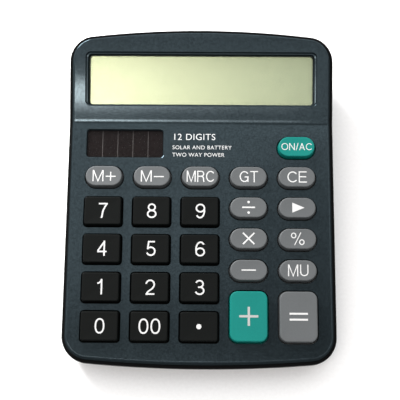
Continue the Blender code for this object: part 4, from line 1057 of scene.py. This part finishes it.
def key_hole_cutter():
    holes = []
    for key in KEYS:
        rings = [key.ring(-3 * DECK_THICKNESS, KEY_CLEARANCE)]
        rings += [key.ring(z, KEY_CLEARANCE + grow) for grow, z in rim_steps(0.18 * MM, 3)]
        hole = loft(rings)
        hole.transform(key.place)
        holes.append(hole)
    return make_object("key_holes", merged(holes), DECK)


def ledge_ring(inset, z):
    """The display opening's outline moved in by inset, less so at its front."""
    low, high = RECESS_LOW_S + inset / 3, RECESS_HIGH_S - inset
    return panel_ring(RECESS_HALF_WIDTH - inset, low, high, RECESS_CORNER - inset / 2, z)


def opening_cutter():
    """The display opening: sloped walls down to the window, and a rounded mouth."""
    rings = [
        panel_ring(WINDOW_HALF_WIDTH, WINDOW_LOW_S, WINDOW_HIGH_S, WINDOW_CORNER, z)
        for z in (-2 * WELL_DEPTH, -WINDOW_DEPTH)
    ]
    rings.append(ledge_ring(LEDGE_INNER, -LEDGE_DEPTH))
    rings.append(ledge_ring(LEDGE_OUTER, -LEDGE_DEPTH + 0.05 * MM))
    for grow, z in rim_steps(0.30 * MM):
        low, high = RECESS_LOW_S - grow, RECESS_HIGH_S + grow
        rings.append(panel_ring(RECESS_HALF_WIDTH + grow, low, high, RECESS_CORNER + grow, z))
    return make_object("opening_cutter", loft(rings), DISPLAY)


def lens_ring(grow, z):
    """The lens outline, moved out by grow."""
    grow += LENS_OVERLAP
    low, high = WINDOW_LOW_S - grow, WINDOW_HIGH_S + grow
    return panel_ring(WINDOW_HALF_WIDTH + grow, low, high, WINDOW_CORNER + grow, z)


def pocket_cutter():
    rings = [lens_ring(GAP, z) for z in (-2 * WELL_DEPTH, -WINDOW_DEPTH)]
    return make_object("pocket_cutter", loft(rings), DISPLAY)


def solar_ring(grow, z):
    outline = rounded_box(SOLAR_HALF_WIDTH + grow, SOLAR_HALF_LENGTH + grow, SOLAR_CORNER + grow, 8)
    return ring_at(outline, z, *SOLAR_CENTRE)


def solar_cutter():
    rings = [solar_ring(grow, z) for grow, z in [(0.0, -3 * DECK_THICKNESS), *rim_steps(0.80 * MM)]]
    return make_object("solar_cutter", loft(rings), DECK)


def make_top_housing():
    base = RIM_STEP + SKIRT_DRAFT
    lip_inset = WALL + GAP + LIP_THICKNESS
    seam = SEAM_DROP - GAP / 2
    rings = []
    for turn in turns(77, 8):
        inset = base + TOP_EDGE_RADIUS * (1 - math.sin(turn))
        rings.append(case_ring(inset, TOP_EDGE_RADIUS * (1 - math.cos(turn))))
    rings += [case_ring(RIM_STEP + inset, seam - rise) for inset, rise in SEAM_ROUNDING]
    rings.append(case_ring(WALL + GAP, seam))
    rings.append(case_ring(WALL + GAP, SEAM_DROP + LIP_DEPTH))
    rings.append(case_ring(lip_inset, SEAM_DROP + LIP_DEPTH))
    rings.append(case_ring(lip_inset, SEAM_DROP))
    rings.append(case_ring(lip_inset + SKIRT_DRAFT, DECK_THICKNESS))
    housing = make_object("top_housing_fine", loft(rings, add_ladder))
    well = wide_block(
        RECESS_HALF_WIDTH + WELL_WALL,
        (RECESS_LOW_S - WELL_WALL, RECESS_HIGH_S + WELL_WALL),
        (-WELL_DEPTH, -0.8 * DECK_THICKNESS),
    )
    steps = [
        ("UNION", make_object("well_walls", well, DISPLAY)),
        ("DIFFERENCE", opening_cutter()),
        ("DIFFERENCE", pocket_cutter()),
        ("DIFFERENCE", solar_cutter()),
        ("DIFFERENCE", key_hole_cutter()),
    ]
    carve(housing, steps)
    finish_piece(housing, SLATE, "case", "slate_case", "top_housing")
    shade(housing, 32.0)


# ---- display and solar cell


def edged_plate(name, ring, low, high, edge, place):
    """A flat plate with softened edges; ring(grow, z) gives its outline."""
    rings = [ring(0.0, low)]
    for turn in turns(90, 3):
        rings.append(ring(-edge * (1 - math.cos(turn)), high - edge + edge * math.sin(turn)))
    return make_object(name, loft(rings), place)


def make_display():
    bottom = -LENS_TOP - LENS_THICKNESS
    lens = edged_plate("display_lens_fine", lens_ring, bottom, -LENS_TOP, 0.12 * MM, DISPLAY)
    finish_piece(lens, CLEAR_LENS, "case", "clear_window", "display_lens")
    shade(lens)

    film_bottom = -LCD_TOP - FILM_DEPTH
    film_rings = [
        panel_ring(FILM_HALF_WIDTH, FILM_LOW_S, FILM_HIGH_S, 0.4 * MM, z, 3) for z in (film_bottom, -LCD_TOP)
    ]
    film = make_object("lcd_polariser", loft(film_rings), DISPLAY)
    finish_piece(film, LCD_FILM, "case", "lcd_glass")
    front = wide_block(LCD_HALF_WIDTH, (5.8 * MM, LCD_REAR_S), (-LCD_SPLIT[0], film_bottom))
    rear = wide_block(LCD_HALF_WIDTH, (3.8 * MM, LCD_REAR_S), (-LCD_BOTTOM, -LCD_SPLIT[1]))
    glass = make_object("lcd_glass_plates", merged([front, rear]), DISPLAY)
    finish_piece(glass, LCD_GLASS, "case", "lcd_glass", "lcd_panel")


def make_solar_cell():
    def ring(grow, z):
        return solar_ring(grow - GAP / 2, z)

    cover = edged_plate("solar_window_fine", ring, -1.5 * MM, -SOLAR_COVER_TOP, 0.10 * MM, DECK)
    finish_piece(cover, CLEAR_SOLAR, "case", "clear_window", "solar_window")
    shade(cover)
    low, high = deck_box("solar_cell")
    plate = block(low, (high.x, high.y, high.z - 0.05 * MM))
    back = make_object("solar_cell_back", plate, DECK)
    finish_piece(back, SOLAR_BACK, "case", "solar_glass", "solar_cell")
    pitch = 2 * SOLAR_HALF_WIDTH / SOLAR_CELLS
    strips = []
    for i in range(SOLAR_CELLS):
        left = SOLAR_CENTRE[0] - SOLAR_HALF_WIDTH + i * pitch + SOLAR_LINE / 2
        right = left + pitch - SOLAR_LINE
        if i == 0:
            left = low.x + SOLAR_MARGIN
        if i == SOLAR_CELLS - 1:
            right = high.x - SOLAR_MARGIN
        front = (left, low.y + SOLAR_MARGIN, high.z - 0.10 * MM)
        strips.append(block(front, (right, high.y - SOLAR_MARGIN, high.z)))
    film = make_object("solar_cell_strips", merged(strips), DECK)
    finish_piece(film, SOLAR_FILM, "case", "solar_glass")


def make_deck_print():
    """Three plain lines between the solar cell and the ON key."""
    lines = (
        ("12 DIGITS", 2.9 * MM, -9.1 * MM),
        ("SOLAR AND BATTERY", 1.75 * MM, -13.4 * MM),
        ("TWO WAY POWER", 1.75 * MM, -16.8 * MM),
    )
    left = -12.6 * MM
    lift = 0.02 * MM
    for number, (words, height, v) in enumerate(lines, 1):
        text = bpy.data.curves.new("print_text", "FONT")
        text.body = words
        text.size = height / 0.7  # a capital is 0.7 of the font's size
        text.space_character = 1.08
        text.extrude = 0.03 * MM
        text.fill_mode = "BOTH"
        source = add_object("print_text", text)
        data = evaluated_mesh(source)
        bpy.data.objects.remove(source)
        shape = bmesh.new()
        shape.from_mesh(data)
        bmesh.ops.remove_doubles(shape, verts=shape.verts, dist=1e-6)
        place = DECK @ Matrix.Translation((left, v, lift))
        printed = make_object(f"deck_print_{number}", shape, place)
        finish_piece(printed, INK, "case", "slate_case")


# ---- carried-over nodes

CARRIED = {
    "main_board": BOARD,
    "ic_blob": RESIN,
    "capacitor": SLEEVE,
    "resistor": RESISTOR,
    "lcd_bracket": WHITE_PLASTIC,
    "lcd_ribbon": RIBBON,
    "battery_cell": JACKET,
    "battery_spring": STEEL,
    "battery_plate": STEEL,
    "wire_battery_negative": WIRE_BLACK,
    "wire_battery_positive": WIRE_RED,
    "wire_solar_negative": WIRE_BLACK,
    "wire_solar_positive": WIRE_RED,
}


def dress_nodes():
    for name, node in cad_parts.items():
        material = CARRIED.get(name)
        if "board_screw" in name:
            material = STEEL
        if material:
            for slot in node.material_slots:
                slot.material = material


# ---- rubber keypad


def make_keypad_sheet():
    """The flat sheet, with a tab that reaches back to the ON key and a hollow under each dome."""
    outline = [
        (-SHEET_HALF_WIDTH, SHEET_FRONT_V),
        (SHEET_HALF_WIDTH, SHEET_FRONT_V),
        (SHEET_HALF_WIDTH, ON_TAB_REAR_V),
        (ON_TAB_LEFT, ON_TAB_REAR_V),
        (ON_TAB_LEFT, SHEET_REAR_V),
        (-SHEET_HALF_WIDTH, SHEET_REAR_V),
    ]
    rings = [ring_at(outline, z) for z in (-SHEET_BOTTOM, -SHEET_TOP)]
    sheet = make_object("rubber_keypad_fine", loft(rings), DECK)
    holes = []
    for key in KEYS:
        x, y, _ = key.place.translation
        holes.append(cylinder(x, y, -SHEET_BOTTOM - GAP, -SHEET_TOP + GAP, DOME_HOLLOW_RADIUS))
    carve(sheet, [("DIFFERENCE", make_object("dome_hollows", merged(holes), DECK))])
    finish_piece(sheet, KEYPAD_RUBBER, "case", "keypad_rubber", "rubber_keypad")
    shade(sheet)


def make_domes():
    """A hollow dome with a contact pill under each key, drawn at rest."""
    roof = -DOME_TOP - 1.2 * MM
    pill = -SHEET_TOP + 0.6 * MM
    pill_radius = 1.5 * MM
    inside = [(0.0, pill), (pill_radius, pill), (pill_radius, roof), (2.2 * MM, roof)]
    inside.append((DOME_HOLLOW_RADIUS, -SHEET_TOP))
    foot = [(4.4 * MM, -SHEET_TOP), (4.15 * MM, -SHEET_TOP + 0.15 * MM), (3.95 * MM, -SHEET_TOP + 0.5 * MM)]
    top = [(2.6 * MM, -DOME_TOP - 0.35 * MM), (2.5 * MM, -DOME_TOP - 0.1 * MM), (2.35 * MM, -DOME_TOP)]
    profile = [*inside, *foot, *top, (0.0, -DOME_TOP)]
    for key in KEYS:
        seat = DECK @ key.place
        dome = make_object("rubber_dome_" + key.name[4:], turned(profile, 32), seat)
        finish_piece(dome, KEYPAD_RUBBER, "case", "keypad_rubber")
        shade(dome)
        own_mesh(dome)


# ---- underside


def screw_cutters():
    """Counterbores with a chamfered mouth, and the through holes in their webs."""
    bores, mouths, holes = [], [], []
    for x, y, joint_z in CASE_SCREWS.values():
        bores.append(cylinder(x, y, 0.0, joint_z - 2.05 * MM, COUNTERBORE_RADIUS, steps=40))
        wide = COUNTERBORE_RADIUS + 0.45 * MM
        mouths.append(cylinder(x, y, MOUTH_BOTTOM, BASE_Z + CHAMFER, wide, COUNTERBORE_RADIUS, 40))
        holes.append(cylinder(x, y, 0.5 * MM, joint_z + GAP, SCREW_HOLE_RADIUS, steps=24))
    return bores, mouths, holes


def make_bottom_housing():
    rings = [
        level_ring(BASE_INSET + 0.55 * MM, BASE_Z),
        level_ring(BASE_INSET + 0.25 * MM, BASE_Z + 0.10 * MM),
        share_ring(0.97 * BASE_INSET, 0.025),
        *[share_ring(inset, share) for inset, share in SIDE_CURVE],
        case_ring(0.0, SEAM_DROP + LIP_DEPTH),
        case_ring(0.02 * MM, SEAM_DROP + 0.5 * GAP + 0.25 * MM),
        case_ring(0.22 * MM, SEAM_DROP + 0.5 * GAP),
        case_ring(WALL, SEAM_DROP + 0.5 * GAP),
        case_ring(WALL, SEAM_DROP + LIP_DEPTH),
        *[share_ring(inset + WALL, share) for inset, share in reversed(SIDE_CURVE)],
        level_ring(BASE_INSET + WALL, BASE_Z + WALL),
    ]
    housing = make_object("bottom_housing_fine", loft(rings, add_ladder))
    bosses = []
    for x, y, joint_z in CASE_SCREWS.values():
        bosses.append(cylinder(x, y, SUNK_Z, joint_z - 0.15 * MM, BOSS_RADIUS, steps=40))
    bores, mouths, holes = screw_cutters()
    recess = FOOT_RADIUS + GAP
    for x, y in FEET.values():
        bores.append(cylinder(x, y, 0.0, BASE_Z + 0.8 * MM, recess, steps=56))
        mouths.append(cylinder(x, y, MOUTH_BOTTOM, BASE_Z + 0.25 * MM, recess + CHAMFER, recess, 56))
    steps = [
        ("UNION", make_object("base_bosses", merged(bosses))),
        ("UNION", make_object("battery_bay", wide_block(*BAY_WALLS))),
    ]
    cutters = {"bores": merged(bores), "mouths": merged(mouths), "holes": merged(holes)}
    cutters.update({name: wide_block(*cut) for name, cut in BAY_CUTS.items()})
    steps += [("DIFFERENCE", make_object(name, shape)) for name, shape in cutters.items()]
    carve(housing, steps)
    finish_piece(housing, BLACK, "case", "black_case", "bottom_housing")
    shade(housing)


def make_battery_door():
    """A stepped plate with side tongues, finger grooves and an arrow that shows which way it slides."""
    middle = (DOOR_FRONT_Y + DOOR_REAR_Y) / 2
    half_depth = (DOOR_REAR_Y - DOOR_FRONT_Y) / 2

    def ring(inset, z):
        outline = rounded_box(DOOR_HALF_WIDTH - inset, half_depth - inset, 0.8 * MM - inset, 6)
        return ring_at(outline, z, y=middle)

    edge = ((CHAMFER, 0.0), (0.10 * MM, 0.10 * MM), (0.0, CHAMFER), (0.0, 1.5 * MM))
    rings = [ring(inset, BASE_Z + rise) for inset, rise in edge]
    door = make_object("battery_door_fine", loft(rings))
    tongues = wide_block(DOOR_HALF_WIDTH + DOOR_TONGUE, (DOOR_FRONT_Y, DOOR_REAR_Y), (3.3 * MM, 3.9 * MM))
    grooves = []
    for i in range(5):
        y = DOOR_REAR_Y - 5.0 * MM - i * 1.6 * MM
        grooves.append(wide_block(7.0 * MM, (y, y + 0.8 * MM), (0.0, BASE_Z + 0.5 * MM)))
    arrow = ((-2.6 * MM, 53.4 * MM), (2.6 * MM, 53.4 * MM), (0.0, 56.4 * MM))
    arrow_rings = [ring_at(arrow, z) for z in (BASE_Z - 0.2 * MM, BASE_Z + CHAMFER)]
    steps = [
        ("UNION", make_object("door_tongues", tongues)),
        ("DIFFERENCE", make_object("grip_grooves", merged(grooves))),
        ("DIFFERENCE", make_object("slide_arrow", loft(arrow_rings))),
    ]
    carve(door, steps)
    finish_piece(door, BLACK, "battery_door", "black_case", "battery_door")
    shade(door)


def make_feet():
    top = BASE_Z + 0.5 * MM
    profile = [(0.0, top), (FOOT_RADIUS - 0.1 * MM, top), (FOOT_RADIUS, top - 0.1 * MM)]
    edge = 0.6 * MM
    for turn in turns(90, 5):
        profile.append((FOOT_RADIUS - edge * (1 - math.cos(turn)), edge * (1 - math.sin(turn))))
    profile += [(3.0 * MM, 0.0), (2.7 * MM, 0.15 * MM), (1.2 * MM, 0.20 * MM), (0.0, 0.20 * MM)]
    for name, (x, y) in FEET.items():
        foot = make_object("foot_fine_" + name, turned(profile), Matrix.Translation((x, y, 0.0)))
        finish_piece(foot, FOOT_RUBBER, "case", "foot_rubber", "foot_" + name)
        shade(foot)


def make_case_screws():
    """Pan-head screws, head down, with a cross recess."""
    head, height, shank = 2.1 * MM, 1.7 * MM, 1.0 * MM
    profile = [(0.0, 7.0 * MM), (0.4 * shank, 7.0 * MM), (shank, 6.0 * MM), (shank, 0.0), (head, 0.0)]
    profile += [(head, -0.45 * height), (0.95 * head, -0.68 * height), (0.80 * head, -0.86 * height)]
    profile += [(0.50 * head, -0.97 * height), (0.0, -height)]
    for name, (x, y, joint_z) in CASE_SCREWS.items():
        seat = Matrix.Translation((x, y, joint_z - 2.35 * MM))
        screw = make_object("case_screw_fine_" + name, turned(profile, 40), seat)
        arms = []
        for half_x, half_y in ((1.25 * MM, 0.28 * MM), (0.28 * MM, 1.25 * MM)):
            shape = wide_block(half_x, (-half_y, half_y), (-height - 0.2 * MM, -height + 0.75 * MM))
            arms.append(("DIFFERENCE", make_object("cross_arm", shape, seat)))
        carve(screw, arms)
        finish_piece(screw, STEEL, "case", "steel", "case_screw_" + name)
        shade(screw)


# ---- floor, light and camera


def make_floor():
    shape = bmesh.new()
    bmesh.ops.create_grid(shape, x_segments=1, y_segments=1, size=3.0)
    floor = make_object("floor", shape)
    nodes = Nodes("floor_paper")
    fibre = nodes.noise(700.0, 3.0)
    nodes.link(nodes.ramp(fibre, ((0.35, (0.94, 0.94, 0.94)), (0.65, (0.97, 0.97, 0.97)))), "Base Color")
    nodes.set(Roughness=0.9, Specular_IOR_Level=0.1)
    floor.data.materials.append(nodes.material)


def soft_light(name, place, aim, size, power, colour=(1, 1, 1)):
    data = bpy.data.lights.new(name, "AREA")
    data.shape = "RECTANGLE"
    data.size, data.size_y = size
    data.energy = power
    data.color = colour
    light = add_object(name, data)
    away = (Vector(place) - Vector(aim)).normalized()
    across = (Vector((1, 0, 0)) - away * away.x).normalized()
    turn = Matrix((across, away.cross(across), away)).transposed().to_4x4()
    light.matrix_world = Matrix.Translation(place) @ turn


def make_surroundings():
    """A white studio, dimmer towards the front, behind the camera and in a band from left to right."""
    world = bpy.data.worlds.new("studio")
    world.use_nodes = True
    tree = world.node_tree

    def calculate(operation, *values):
        return add_node(tree, "ShaderNodeMath", enumerate(values), operation=operation).outputs["Value"]

    around = add_node(tree, "ShaderNodeTexCoord").outputs["Generated"]
    rearward = add_node(tree, "ShaderNodeSeparateXYZ", {"Vector": around}).outputs["Y"]
    directions = {0: around, 1: Vector(DIM_PATCH_TOWARD).normalized()}
    toward = add_node(tree, "ShaderNodeVectorMath", directions, operation="DOT_PRODUCT").outputs["Value"]
    from_band = calculate("ABSOLUTE", calculate("ADD", rearward, DIM_BAND_SHIFT))
    strength = calculate(
        "MULTIPLY",
        remap(tree, rearward, (-1.0, 1.0), BRIGHT_FRONT_TO_REAR),
        remap(tree, toward, DIM_PATCH_EDGE, (1.0, DIM_PATCH)),
    )
    strength = calculate("MULTIPLY", strength, remap(tree, from_band, DIM_BAND_EDGE, (DIM_BAND, 1.0)))
    background = tree.nodes["Background"]
    background.inputs["Color"].default_value = (1.0, 1.0, 1.0, 1.0)
    tree.links.new(strength, background.inputs["Strength"])
    return world


def make_lights():
    for number, (low, high, strength) in enumerate(SHEEN_STRIP, 1):
        middle = (low + high) / 2
        place = (middle, STRIP_Y, STRIP_Z)
        size = (high - low, STRIP_DEPTH)
        soft_light(f"sheen_strip_{number}", place, (middle, 0.04, 0.03), size, strength * size[0], LAMP_WHITE)
    soft_light("main_softbox", SOFTBOX_PLACE, (0.0, 0.0, 0.02), (SOFTBOX_SIZE, SOFTBOX_SIZE), SOFTBOX_POWER)
    bpy.context.scene.world = make_surroundings()
    bpy.context.scene.view_settings.view_transform = "Standard"


def make_camera():
    data = bpy.data.cameras.new("camera")
    data.lens = CAMERA_LENS
    data.clip_start = 0.01
    data.clip_end = 20.0
    camera = add_object("camera", data)
    camera.matrix_world = (
        DECK
        @ Matrix.Translation((0, CAMERA_AIM_V, KEY_HEIGHT))
        @ Matrix.Rotation(CAMERA_YAW, 4, "Y")
        @ Matrix.Rotation(CAMERA_TILT, 4, "X")
        @ Matrix.Rotation(CAMERA_ROLL, 4, "Z")
        @ Matrix.Translation((0, 0, CAMERA_DISTANCE))
    )
    bpy.context.scene.camera = camera


make_camera()
make_lights()
make_floor()
dress_nodes()
make_top_housing()
make_keys()
make_display()
make_solar_cell()
make_deck_print()
make_keypad_sheet()
make_domes()
make_bottom_housing()
make_battery_door()
make_feet()
make_case_screws()
